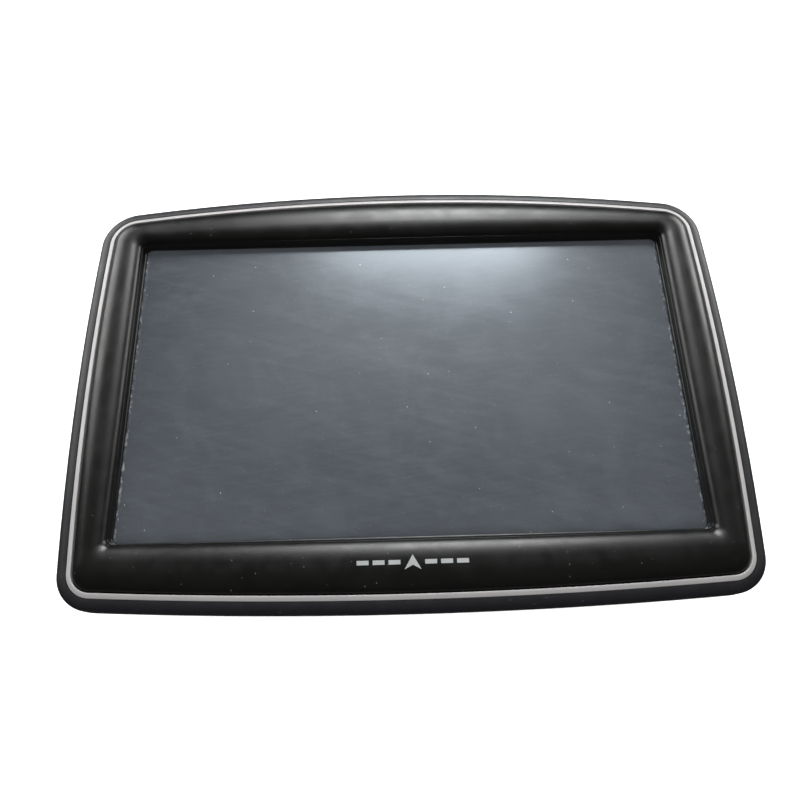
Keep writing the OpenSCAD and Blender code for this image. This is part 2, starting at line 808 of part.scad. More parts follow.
module antenna_electrode() {
    electrode_t = 0.1;
    color([0.8, 0.8, 0.8]) {
        plate(antenna_w - 2 * electrode_inset, antenna_w - 2 * electrode_inset, 0.4, electrode_t,
            antenna_at, board_z - antenna_t - electrode_t);
        post(pin_r, antenna_at + pin_offset, board_z - antenna_t - electrode_t - pin_l,
            board_z - antenna_t - eps);
    }
}

// ---- Battery ----

battery_tape_t = 0.3;
battery_z = floor_z + battery_tape_t;
battery_x = body_w / 2 - inner_inset(battery_z) - edge_gap - battery_w / 2;
battery_left = battery_x - battery_w / 2;
plug_w = 4;
plug_t = 2;
plug_right = board_right - 0.6;
lead_r = 0.4;
lead_z = board_z - plug_t / 2;
lead_pitch = 1.25;

module battery_cell() {
    color([0.72, 0.73, 0.75]) plate(battery_w, battery_h, 1.6, battery_t, [battery_x, 0], battery_z);
}

module battery_tape() {
    tape_left = max(battery_left, cup_r) + 1;
    tape_right = min(battery_x + battery_w / 2, body_w / 2 - rear_taper) - 1;
    color([0.85, 0.83, 0.75])
        plate(tape_right - tape_left, battery_h - 6, 1, battery_tape_t,
            [(tape_left + tape_right) / 2, 0], floor_z);
}

module battery_leads() {
    for (k = [-1:1])
        color([[0.7, 0.1, 0.1], [0.9, 0.9, 0.9], [0.1, 0.1, 0.1]][k + 1])
            translate([plug_right, k * lead_pitch, lead_z]) rotate([0, 90, 0])
                cylinder(h = battery_left - plug_right, r = lead_r, $fn = 24);
}

module battery_plug() {
    color([0.92, 0.91, 0.86])
        block([plug_w, 3 * lead_pitch + 1.4, plug_t], [plug_right - plug_w / 2, 0, lead_z]);
}

// ---- Speaker ----

cloth_t = 0.2;
ring_gasket_t = 0.6;
ring_w = 2.2;
speaker_z = boss_floor_z + cloth_t + ring_gasket_t;
speaker_top_z = speaker_z + speaker_t;
basket_t = 0.6;
pole_r = 4.9;
coil_r = 5.5;
coil_t = 0.4;
air_gap = 0.35;
cone_t = 0.3;
dish_rise = 0.3;
rim_room = 0.5;
yoke_t = 0.8;
stroke_clear = 0.2;
surround_in = 11.6;
dish_r = surround_in - 2.5;
surround_out = speaker_r - ring_w + 0.4;
surround_z = speaker_z + rim_room + cone_travel;
magnet_z = surround_z + dish_rise + cone_t + cone_travel + stroke_clear;
coil_top_z = speaker_top_z - yoke_t - cone_travel - stroke_clear;

module speaker_cloth() {
    color([0.08, 0.08, 0.08]) post(speaker_r, [0, 0], boss_floor_z, boss_floor_z + cloth_t);
}

module speaker_gasket() {
    color([0.15, 0.15, 0.15])
        tube(speaker_r, speaker_r - ring_w + 0.6, boss_floor_z + cloth_t, speaker_z);
}

// Pressed basket: a flanged rim, a sloping wall and a ring that holds the magnet
module speaker_basket() {
    seat_z = speaker_top_z - basket_t;
    wall_z = surround_z + 0.5;
    color([0.3, 0.3, 0.32]) rotate_extrude() polygon([
        [surround_out, speaker_z], [speaker_r, speaker_z], [speaker_r, speaker_z + basket_t],
        [speaker_r - 0.8, speaker_z + basket_t], [speaker_r - 1, wall_z + basket_t * 0.6],
        [magnet_r + 1.6, seat_z], [magnet_r, seat_z], [magnet_r, seat_z - basket_t],
        [magnet_r + 1.2, seat_z - basket_t], [surround_out + 0.2, wall_z]]);
}

// Magnet cup with its centre pole, open downwards for the coil
module speaker_magnet() {
    color([0.45, 0.45, 0.47]) {
        tube(magnet_r, coil_r + coil_t + air_gap, magnet_z, speaker_top_z);
        tube(pole_r, 0, magnet_z, speaker_top_z);
        tube(magnet_r, 0, speaker_top_z - yoke_t, speaker_top_z);
    }
}

module voice_coil() {
    color([0.72, 0.42, 0.2])
        tube(coil_r + coil_t, coil_r, surround_z + cone_t, coil_top_z);
}

// Shallow dish with a dust dome in the middle
module speaker_cone() {
    color([0.12, 0.12, 0.13]) rotate_extrude() polygon([
        [0, surround_z - 0.1], [dish_r, surround_z + dish_rise], [surround_in, surround_z],
        [surround_in, surround_z + cone_t], [dish_r, surround_z + dish_rise + cone_t],
        [coil_r + coil_t + 0.3, surround_z + cone_t], [0, surround_z + cone_t]]);
}

// Half-round rolled edge between the cone and the basket
module speaker_surround() {
    mid_r = (surround_in + surround_out) / 2;
    roll_r = (surround_out - surround_in) / 2;
    color([0.09, 0.09, 0.09]) rotate_extrude() intersection() {
        translate([mid_r, surround_z + 0.4]) difference() {
            scale([1, 0.6]) circle(roll_r, $fn = 32);
            scale([1, 0.6]) circle(roll_r - 0.2, $fn = 32);
        }
        translate([surround_in, surround_z - 1]) square([surround_out - surround_in, 1.25]);
    }
}

leaf_w = 1.4;
leaf_t = 0.25;
leaf_y = 2;
leaf_sink = 0.4;
pad_size = [3, 1.4, 0.2];
pad_y = 2.6;
contact_x = -magnet_r - 2;

// Spring leaves that stand on the basket and press on pads under the board
module speaker_contacts() {
    color([0.83, 0.68, 0.3])
        for (sy = [-1, 1]) {
            block([leaf_w, leaf_t, board_z - speaker_top_z + leaf_sink],
                [contact_x, sy * leaf_y, (board_z + speaker_top_z - leaf_sink) / 2]);
            block(pad_size, [contact_x, sy * pad_y, board_z - pad_size[2] / 2]);
        }
}

// ---- Socket and power button ----

usb_shell_t = 0.35;
tongue_t = 1.1;
usb_back_y = usb_mouth_y + usb_l;

module usb_shell() {
    color([0.78, 0.78, 0.79]) difference() {
        block([usb_w, usb_l, usb_t], [usb_x, usb_mouth_y + usb_l / 2, usb_z]);
        block([usb_w - 2 * usb_shell_t, 2 * (usb_l - usb_shell_t), usb_t - 2 * usb_shell_t],
            [usb_x, usb_mouth_y, usb_z]);
    }
}

module usb_tongue() {
    back_t = 1.6;
    inner_w = usb_w - 2 * usb_shell_t;
    color([0.1, 0.1, 0.1]) {
        block([inner_w - 2, usb_l - usb_shell_t - 1, tongue_t],
            [usb_x, usb_back_y - usb_shell_t - (usb_l - usb_shell_t - 1) / 2, usb_z]);
        block([inner_w, back_t, usb_t - 2 * usb_shell_t],
            [usb_x, usb_back_y - usb_shell_t - back_t / 2, usb_z]);
    }
}

flange_t = 0.8;
flange_w = button_w + 2.2;
flange_h = button_t + 0.8;
stem_l = 1.0;
plunger_w = 2.0;
plunger_t = 1.2;
plunger_l = 1.5;
switch_w = 6;
switch_l = 3.6;
switch_t = 2.0;
flange_y = button_seat_y - 0.15;
stem_end_y = flange_y - flange_t - stem_l;
switch_front_y = stem_end_y - button_travel - 0.3;
button_face_y = button_edge_y - 1.1;

module power_button() {
    bevel = 0.5;
    color([0.2, 0.2, 0.21]) {
        oval_bar(button_w, button_t, -button_x, button_z, flange_y - eps, button_face_y - bevel);
        oval_bar(button_w - 2 * bevel, button_t - 2 * bevel, -button_x, button_z,
            button_face_y - bevel - eps, button_face_y);
        oval_bar(flange_w, flange_h, -button_x, button_z, flange_y - flange_t, flange_y);
        block([3, stem_l + eps, 1.6], [-button_x, flange_y - flange_t - (stem_l - eps) / 2, button_z]);
    }
}

module power_plunger() {
    color([0.9, 0.9, 0.88])
        block([plunger_w, plunger_l, plunger_t], [-button_x, stem_end_y - plunger_l / 2, button_z]);
}

module power_switch() {
    pocket = button_travel + 0.3;
    color([0.25, 0.25, 0.26]) difference() {
        block([switch_w, switch_l, switch_t], [-button_x, switch_front_y - switch_l / 2, button_z]);
        block([plunger_w + 0.3, 2 * (plunger_l + pocket), plunger_t + 0.3],
            [-button_x, stem_end_y, button_z]);
    }
}

front_bezel();
trim_ring();
rear_housing();
bezel_mark();
screen_gasket();
touch_film();
touch_glass();
touch_tape();
touch_tail();
lcd_frame();
lcd_glass();
backlight();
lcd_tail();
mid_frame();
frame_screws();
main_board();
board_screws();
processor();
memory_chips();
receiver_shield();
power_chip();
board_parts();
tail_connectors();
gps_antenna();
antenna_electrode();
battery_cell();
battery_tape();
battery_leads();
battery_plug();
speaker_basket();
speaker_magnet();
speaker_surround();
speaker_cone();
voice_coil();
speaker_gasket();
speaker_cloth();
speaker_contacts();
usb_shell();
usb_tongue();
power_switch();
power_plunger();
power_button();
case_screws();
rear_label();
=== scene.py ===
"""Looks of a portable car navigator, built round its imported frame.

The navigator lies on its back. The case is an outline of four shallow arcs with round corners, drawn in or
blended towards the screen window from ring to ring. The bezel, trim ring, rear housing, power button and
cable socket are meshes made here at a finer step than the frame's; every other piece keeps the frame's own
mesh and gets its finish here. Lengths are in metres.
"""
import json
import logging
import math
from dataclasses import dataclass, field
from enum import Enum
from typing import Iterable, Sequence, Union

import bmesh
import bpy
from mathutils import Euler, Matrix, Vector

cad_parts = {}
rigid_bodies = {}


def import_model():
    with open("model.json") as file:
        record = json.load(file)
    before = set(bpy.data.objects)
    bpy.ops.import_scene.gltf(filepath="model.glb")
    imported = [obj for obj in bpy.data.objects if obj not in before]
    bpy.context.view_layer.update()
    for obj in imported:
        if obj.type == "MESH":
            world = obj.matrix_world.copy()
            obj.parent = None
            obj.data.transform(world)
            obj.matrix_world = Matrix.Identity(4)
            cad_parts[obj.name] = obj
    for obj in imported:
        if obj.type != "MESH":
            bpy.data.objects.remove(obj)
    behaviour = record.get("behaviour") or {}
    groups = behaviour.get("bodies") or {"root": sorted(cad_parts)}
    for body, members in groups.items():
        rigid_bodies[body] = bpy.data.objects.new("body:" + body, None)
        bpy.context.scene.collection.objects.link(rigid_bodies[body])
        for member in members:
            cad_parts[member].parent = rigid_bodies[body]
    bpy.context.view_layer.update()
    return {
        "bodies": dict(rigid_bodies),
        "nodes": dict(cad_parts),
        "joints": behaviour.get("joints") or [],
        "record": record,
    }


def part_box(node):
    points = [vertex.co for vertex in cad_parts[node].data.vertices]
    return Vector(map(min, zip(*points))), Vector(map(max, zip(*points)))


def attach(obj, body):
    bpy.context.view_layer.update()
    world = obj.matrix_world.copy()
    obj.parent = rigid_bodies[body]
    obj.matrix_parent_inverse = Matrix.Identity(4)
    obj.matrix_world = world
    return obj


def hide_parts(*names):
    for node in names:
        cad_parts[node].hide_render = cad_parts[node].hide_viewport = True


MM = 0.001
QUARTER = math.pi / 2
OVERCUT = 1 * MM  # how far a cutting tool reaches past what it cuts
MIDWAY = 0.3  # how deep the middle of a rounded edge lies, in radii
CASE = "case"
KEY = "power_key"
LOG = logging.getLogger("navigator")

Point = tuple[float, float]
Ring = list[tuple[float, float, float]]
Colour = tuple[float, float, float]


# ---------------------------------------------------------------------------------------------------------
# Shader maths


class Signal:
    """A shader socket that can be used in a Python expression."""

    def __init__(self, graph: "Graph", socket: bpy.types.NodeSocket) -> None:
        """Wraps socket, an output of a node in graph."""
        self.graph = graph
        self.socket = socket

    def _math(self, operation: str, left: "Value", right: "Value" = 0.0) -> "Signal":
        """Adds a Math node.

        Args:
            operation: The Math node's operation.
            left: The first operand.
            right: The second operand.

        Returns:
            The result as a new signal.
        """
        return self.graph.node("ShaderNodeMath", {"operation": operation}, {0: left, 1: right})

    def __add__(self, other: "Value") -> "Signal":
        """Returns self + other."""
        return self._math("ADD", self, other)

    __radd__ = __add__

    def __sub__(self, other: "Value") -> "Signal":
        """Returns self - other."""
        return self._math("SUBTRACT", self, other)

    def __rsub__(self, other: "Value") -> "Signal":
        """Returns other - self."""
        return self._math("SUBTRACT", other, self)

    def __mul__(self, other: "Value") -> "Signal":
        """Returns self * other."""
        return self._math("MULTIPLY", self, other)

    __rmul__ = __mul__

    def __abs__(self) -> "Signal":
        """Returns the signal without its sign."""
        return self._math("ABSOLUTE", self)

    def __gt__(self, other: "Value") -> "Signal":
        """Returns 1 where self is over other, and 0 elsewhere."""
        return self._math("GREATER_THAN", self, other)

    def most(self, other: "Value") -> "Signal":
        """Returns the larger of self and other."""
        return self._math("MAXIMUM", self, other)

    def wave(self) -> "Signal":
        """Returns the sine of the signal."""
        return self._math("SINE", self)

    def above(self, low: float, high: float) -> "Signal":
        """Adds a ramp from 0 at low to 1 at high, smooth at both ends and held beyond them.

        Args:
            low: The value that gives 0.
            high: The value that gives 1, which is over low.

        Returns:
            The ramp.
        """
        return self.graph.node("ShaderNodeMapRange", {"interpolation_type": "SMOOTHSTEP"},
                               {"Value": self, "From Min": low, "From Max": high})


Value = Union[Signal, float]
Link = Union[Signal, float, Sequence[float]]


class Graph:
    """The node tree of one material, with its Principled shader."""

    def __init__(self, name: str) -> None:
        """Starts a material.

        Args:
            name: The material's name.
        """
        self.material = bpy.data.materials.new(name)
        self.material.use_nodes = True
        self.tree = self.material.node_tree
        self.shader = self.tree.nodes["Principled BSDF"]
        self.place = self.node("ShaderNodeTexCoord", {}, {}, "Object")

    def node(self, kind: str, settings: dict[str, object], sockets: dict[Union[int, str], Link],
             output: Union[int, str] = 0) -> Signal:
        """Adds any node.

        Args:
            kind: The node's type.
            settings: The node's own settings.
            sockets: The value or link of each input, by number or name.
            output: The output to return, by number or name.

        Returns:
            That output.
        """
        made = self.tree.nodes.new(kind)
        for key, value in settings.items():
            setattr(made, key, value)
        for key, value in sockets.items():
            self.join(value, made.inputs[key])
        return Signal(self, made.outputs[output])

    def join(self, value: Link, socket: bpy.types.NodeSocket) -> None:
        """Gives a socket its value or link.

        Args:
            value: A signal to link, or a number or vector to set.
            socket: The input that takes it.
        """
        if isinstance(value, Signal):
            self.tree.links.new(value.socket, socket)
        elif isinstance(value, (int, float)):
            socket.default_value = value
        else:
            socket.default_value = (*value, 1.0) if socket.type == "RGBA" and len(value) == 3 else value

    def set(self, name: str, value: Link) -> None:
        """Gives one of the shader's own inputs its value or link.

        Args:
            name: The input's name.
            value: A signal, number or colour.
        """
        self.join(value, self.shader.inputs[name])

    def stretched(self, scale: Sequence[float], turn: float = 0.0) -> Signal:
        """Adds a scaled place.

        Args:
            scale: A scale for each axis.
            turn: The angle that the place is turned by in the plan before it is scaled.

        Returns:
            The place on the object in metres, turned and scaled.
        """
        place = self.place
        if turn:
            place = self.node("ShaderNodeVectorRotate", {"rotation_type": "Z_AXIS"},
                              {"Vector": place, "Angle": turn}, "Vector")
        return self.node("ShaderNodeVectorMath", {"operation": "MULTIPLY"}, {0: place, 1: scale}, "Vector")

    def noise(self, size: Union[float, Sequence[float]], detail: float = 3.0, rough: float = 0.55,
              twist: float = 0.0, shift: float = 0.0, turn: float = 0.0) -> Signal:
        """Adds a cloudy pattern.

        Args:
            size: The size of one cloud, or its size along each axis.
            detail: How many finer levels it has.
            rough: How strong the finer levels are.
            twist: How far it is distorted.
            shift: A value that gives another pattern of the same kind.
            turn: The angle it is turned by in the plan.

        Returns:
            A signal between about 0.25 and 0.75.
        """
        sizes = (size,) * 3 if isinstance(size, float) else size
        place = self.stretched([1 / s for s in sizes], turn)
        sockets = {"Vector": place, "W": shift, "Scale": 1.0, "Detail": detail, "Roughness": rough,
                   "Distortion": twist}
        return self.node("ShaderNodeTexNoise", {"noise_dimensions": "4D"}, sockets, "Fac")

    def specks(self, size: float, radius: float, share: float, shift: float = 0.0) -> Signal:
        """Adds specks scattered over the surfaces that face up or down.

        Args:
            size: The distance between places where a speck may be.
            radius: The radius of the largest speck.
            share: The share of places that hold a speck.
            shift: A value that gives other places.

        Returns:
            1 on a speck, and 0 elsewhere.
        """
        spot = self.node("ShaderNodeVectorMath", {"operation": "ADD"},
                         {0: self.stretched([1 / size] * 3), 1: (shift, shift, 0)}, "Vector")
        settings, sockets = {"voronoi_dimensions": "2D", "feature": "F1"}, {"Vector": spot, "Scale": 1.0}
        distance, cell = (self.node("ShaderNodeTexVoronoi", settings, sockets, output)
                          for output in ("Distance", "Color"))
        chance = self.node("ShaderNodeSeparateColor", {}, {0: cell}, "Red")
        reach = chance.above(1 - share, 1.0) * (radius / size)
        facing = self.node("ShaderNodeNewGeometry", {}, {}, "Normal")
        level = abs(self.node("ShaderNodeSeparateXYZ", {}, {0: facing}, 2)).above(0.6, 0.8)
        return (reach - distance).above(0.0, 0.35 * radius / size) * level

    def blend(self, mask: Value, low: Link, high: Link) -> Signal:
        """Mixes two colours.

        Args:
            mask: 0 for low and 1 for high.
            low: A colour or a signal.
            high: A colour or a signal.

        Returns:
            The mixed colour.
        """
        return self.node("ShaderNodeMix", {"data_type": "RGBA"}, {0: mask, 6: low, 7: high}, 2)

    def axis(self, index: int) -> Signal:
        """Returns one coordinate of the place on the object, in metres."""
        return self.node("ShaderNodeSeparateXYZ", {}, {0: self.place}, index)

    def relief(self, height: Signal, depth: float, strength: float = 1.0) -> None:
        """Makes the surface rise and fall.

        Args:
            height: The height, 0 to 1.
            depth: The height of 1, in metres.
            strength: The strength of the bump.
        """
        bump = self.node("ShaderNodeBump", {}, {"Strength": strength, "Distance": depth, "Height": height},
                         "Normal")
        self.set("Normal", bump)


# ---------------------------------------------------------------------------------------------------------
# Finishes


class Texture(Enum):
    """What the surface of a finish is like, close up."""

    SATIN = "satin"
    SPARK = "spark"
    BRUSHED = "brushed"
    FLAKES = "flakes"
    WEAVE = "weave"
    WINDINGS = "windings"
    FOAM = "foam"
    PAPER = "paper"
    CREASED = "creased"


# What the patterns of every finish share: lengths in grains, then sizes in metres
BRUSH_LENGTH = 30
FIBRE_LENGTH = 6
CREASE_SIZE = 10
CLOUD_SIZE = 9 * MM
GLOSS_SIZE = 4 * MM
LINT_GAP = 2.2 * MM
LINT_R = 0.13 * MM
LINT_ROUGH = 0.3
COAT_ROUGH = 0.08


def tinted(colour: Colour, factor: float) -> Colour:
    """Makes a colour darker or lighter.

    Args:
        colour: The colour.
        factor: Its new brightness, where 1 is unchanged.

    Returns:
        The new colour.
    """
    return tuple(min(1.0, c * factor) for c in colour)


@dataclass(frozen=True)
class Finish:
    """A finish with one texture, some variation in colour and gloss, and a little dust."""

    name: str
    colour: Colour
    roughness: float
    texture: Texture
    grain: float = 0.25 * MM
    relief: float = 0.01 * MM
    metallic: float = 0.0
    specular: float = 0.5
    coat: float = 0.0
    variation: float = 0.15
    gloss_change: float = 0.06
    dust: float = 0.0
    specular_tint: Colour = (1.0, 1.0, 1.0)
    lint_colour: Colour = (0.30, 0.30, 0.29)

    def _height(self, graph: Graph) -> Signal:
        """Adds the texture's own height pattern.

        Args:
            graph: The material to add it to.

        Returns:
            The height, 0 to 1.
        """
        g = self.grain
        if self.texture is Texture.BRUSHED:
            return graph.noise((BRUSH_LENGTH * g, g, g), 4.0, 0.7)
        if self.texture is Texture.WEAVE:
            across = (graph.axis(0) * (math.pi / g)).wave()
            along = (graph.axis(1) * (math.pi / g)).wave()
            return abs(across) * abs(along)
        if self.texture is Texture.WINDINGS:
            return abs((graph.axis(2) * (math.pi / g)).wave())
        if self.texture in (Texture.SPARK, Texture.FOAM):
            cells = graph.node("ShaderNodeTexVoronoi", {"feature": "SMOOTH_F1"},
                               {"Vector": graph.stretched([1 / g] * 3), "Scale": 1.0, "Smoothness": 0.4},
                               "Distance")
            return cells * 0.6 + graph.noise(2.5 * g, 3.0) * 0.4
        if self.texture is Texture.PAPER:
            along = graph.noise((FIBRE_LENGTH * g, g, g), 4.0, 0.7, 0.6)
            across = graph.noise((g, FIBRE_LENGTH * g, g), 4.0, 0.7, 0.6)
            return along * 0.5 + across * 0.5
        if self.texture is Texture.CREASED:
            return graph.noise(CREASE_SIZE * g, 4.0, 0.6, 1.5)
        return graph.noise(g, 2.0, 0.5)

    def paint(self, graph: Graph, height: Signal) -> tuple[Signal, Signal]:
        """Adds the colour and gloss, with their slow change over the surface.

        Args:
            graph: The material to add them to.
            height: The texture's height.

        Returns:
            The colour and the roughness.
        """
        cloud = graph.noise(CLOUD_SIZE, 4.0, 0.6)
        low, high = tinted(self.colour, 1 - self.variation), tinted(self.colour, 1 + self.variation)
        colour = graph.blend((cloud * 0.6 + height * 0.4).above(0.3, 0.7), low, high)
        rough = graph.noise(GLOSS_SIZE, 3.0, 0.6, 0.4, 3.0).above(0.35, 0.65) * (2 * self.gloss_change)
        rough = rough + (self.roughness - self.gloss_change)
        if self.dust > 0:
            lint = graph.specks(LINT_GAP, LINT_R, 0.3, 7.0) * self.dust
            colour = graph.blend(lint, colour, self.lint_colour)
            rough = rough + lint * LINT_ROUGH
        return colour, rough

    def build(self) -> bpy.types.Material:
        """Makes the material.

        Returns:
            The material, ready to go in a slot.
        """
        graph = Graph(self.name)
        height = self._height(graph)
        colour, rough = self.paint(graph, height)
        graph.set("Base Color", colour)
        graph.set("Roughness", rough)
        graph.set("Metallic", self.metallic)
        graph.set("Specular IOR Level", self.specular)
        graph.set("Specular Tint", self.specular_tint)
        graph.set("Coat Weight", self.coat)
        graph.set("Coat Roughness", COAT_ROUGH)
        graph.relief(height, self.relief)
        return graph.material


@dataclass(frozen=True)
class ScreenFilm(Finish):
    """The touch film over a switched-off display.

    It is hazy and smeared, with lint on it and dust caught along the window's edges.
    """

    half_w: float = 56 * MM
    wipe_turn: float = math.radians(16)
    streak_size: Point = (24 * MM, 2.6 * MM)
    stroke_size: Point = (11 * MM, 0.7 * MM)
    patch_size: float = 13 * MM
    lint: tuple[float, ...] = (4.6 * MM, 0.11 * MM, 0.25, 2.0)
    fine_lint: tuple[float, ...] = (1.3 * MM, 0.045 * MM, 0.4, 4.0)
    edge_reach: float = 1.5 * MM
    edge_dust: tuple[float, ...] = (0.7 * MM, 1.1 * MM, 1 * MM)
    lint_colour: Colour = (0.28, 0.29, 0.30)

    def _smears(self, graph: Graph) -> Signal:
        """Adds faint wiped streaks, mostly along the width.

        Args:
            graph: The material to add them to.

        Returns:
            Their strength, 0 to 1.
        """
        streaks = graph.noise((*self.streak_size, CLOUD_SIZE), 4.0, 0.62, 1.1, turn=self.wipe_turn)
        strokes = graph.noise((*self.stroke_size, CLOUD_SIZE), 3.0, 0.6, 0.6, 8.0, -0.4 * self.wipe_turn)
        patches = graph.noise(self.patch_size, 5.0, 0.66, 1.6, 5.0)
        return (streaks.above(0.42, 0.72) * 0.36 + strokes.above(0.40, 0.68) * 0.24
                + patches.above(0.40, 0.66) * 0.40)

    def _edge_dust(self, graph: Graph) -> Signal:
        """Adds ragged dust that thins out away from the window's edges.

        Args:
            graph: The material to add it to.

        Returns:
            Its strength, 0 to 1.
        """
        ragged = graph.noise(self.edge_dust, 4.0, 0.7, 0.5, 9.0)
        side = abs(graph.axis(0)).above(self.half_w - self.edge_reach, self.half_w + 0.2 * MM)
        return (ragged + side * 0.30).above(0.72, 0.95) * side

    def paint(self, graph: Graph, height: Signal) -> tuple[Signal, Signal]:
        """Adds the film's colour and gloss.

        Args:
            graph: The material to add them to.
            height: The texture's height, which is not used here.

        Returns:
            The colour and the roughness.
        """
        smears = self._smears(graph)
        lint, fine_lint = graph.specks(*self.lint) * 0.7, graph.specks(*self.fine_lint) * 0.4
        dust = lint.most(fine_lint).most(self._edge_dust(graph) * 0.5)
        colour = graph.blend(smears, tinted(self.colour, 1 - self.variation),
                             tinted(self.colour, 1 + self.variation))
        colour = graph.blend(dust, colour, self.lint_colour)
        rough = smears * (2 * self.gloss_change) + (self.roughness - self.gloss_change) + dust * LINT_ROUGH
        return colour, rough


@dataclass(frozen=True)
class BoardMask(Finish):
    """Solder mask over copper tracks, with ground fill between them."""

    track: float = 0.9 * MM
    track_bend: float = 24.0
    fill_size: float = 14 * MM
    via_gap: float = 1.9 * MM
    via_r: float = 0.25 * MM
    via_colour: Colour = (0.5, 0.42, 0.25)

    def paint(self, graph: Graph, height: Signal) -> tuple[Signal, Signal]:
        """Adds the colour of the mask and the tracks under it.

        Args:
            graph: The material to add them to.
            height: The texture's height.

        Returns:
            The colour and the roughness.
        """
        bend = graph.noise(CLOUD_SIZE, 1.0, 0.3) * self.track_bend
        lines = abs((graph.axis(0) * (math.pi / self.track) + bend).wave()).above(0.25, 0.4)
        area = graph.noise(self.fill_size, 0.0, 0.5, 0.0, 2.0) > 0.5
        vias = graph.specks(self.via_gap, self.via_r, 0.6)
        colour = graph.blend(lines * area, tinted(self.colour, 0.7), tinted(self.colour, 1.5))
        return graph.blend(vias * 0.8, colour, self.via_colour), height * 0.1 + self.roughness


def steel(name: str, shade: float, grain: float = 0.08 * MM) -> Finish:
    """Describes a brushed metal of a given brightness.

    Args:
        name: The finish's name.
        shade: Its brightness.
        grain: The width of one brush line.

    Returns:
        The finish.
    """
    return Finish(name, (shade, shade, shade * 1.01), 0.33, Texture.BRUSHED, grain, 0.002 * MM, 1.0,
                  variation=0.12)


def plastic(name: str, colour: Colour, rough: float = 0.42, relief: float = 0.004 * MM) -> Finish:
    """Describes the plastic of a small moulded part.

    Args:
        name: The finish's name.
        colour: Its colour.
        rough: Its roughness.
        relief: The depth of its grain.

    Returns:
        The finish.
    """
    return Finish(name, colour, rough, Texture.SATIN, 0.2 * MM, relief)


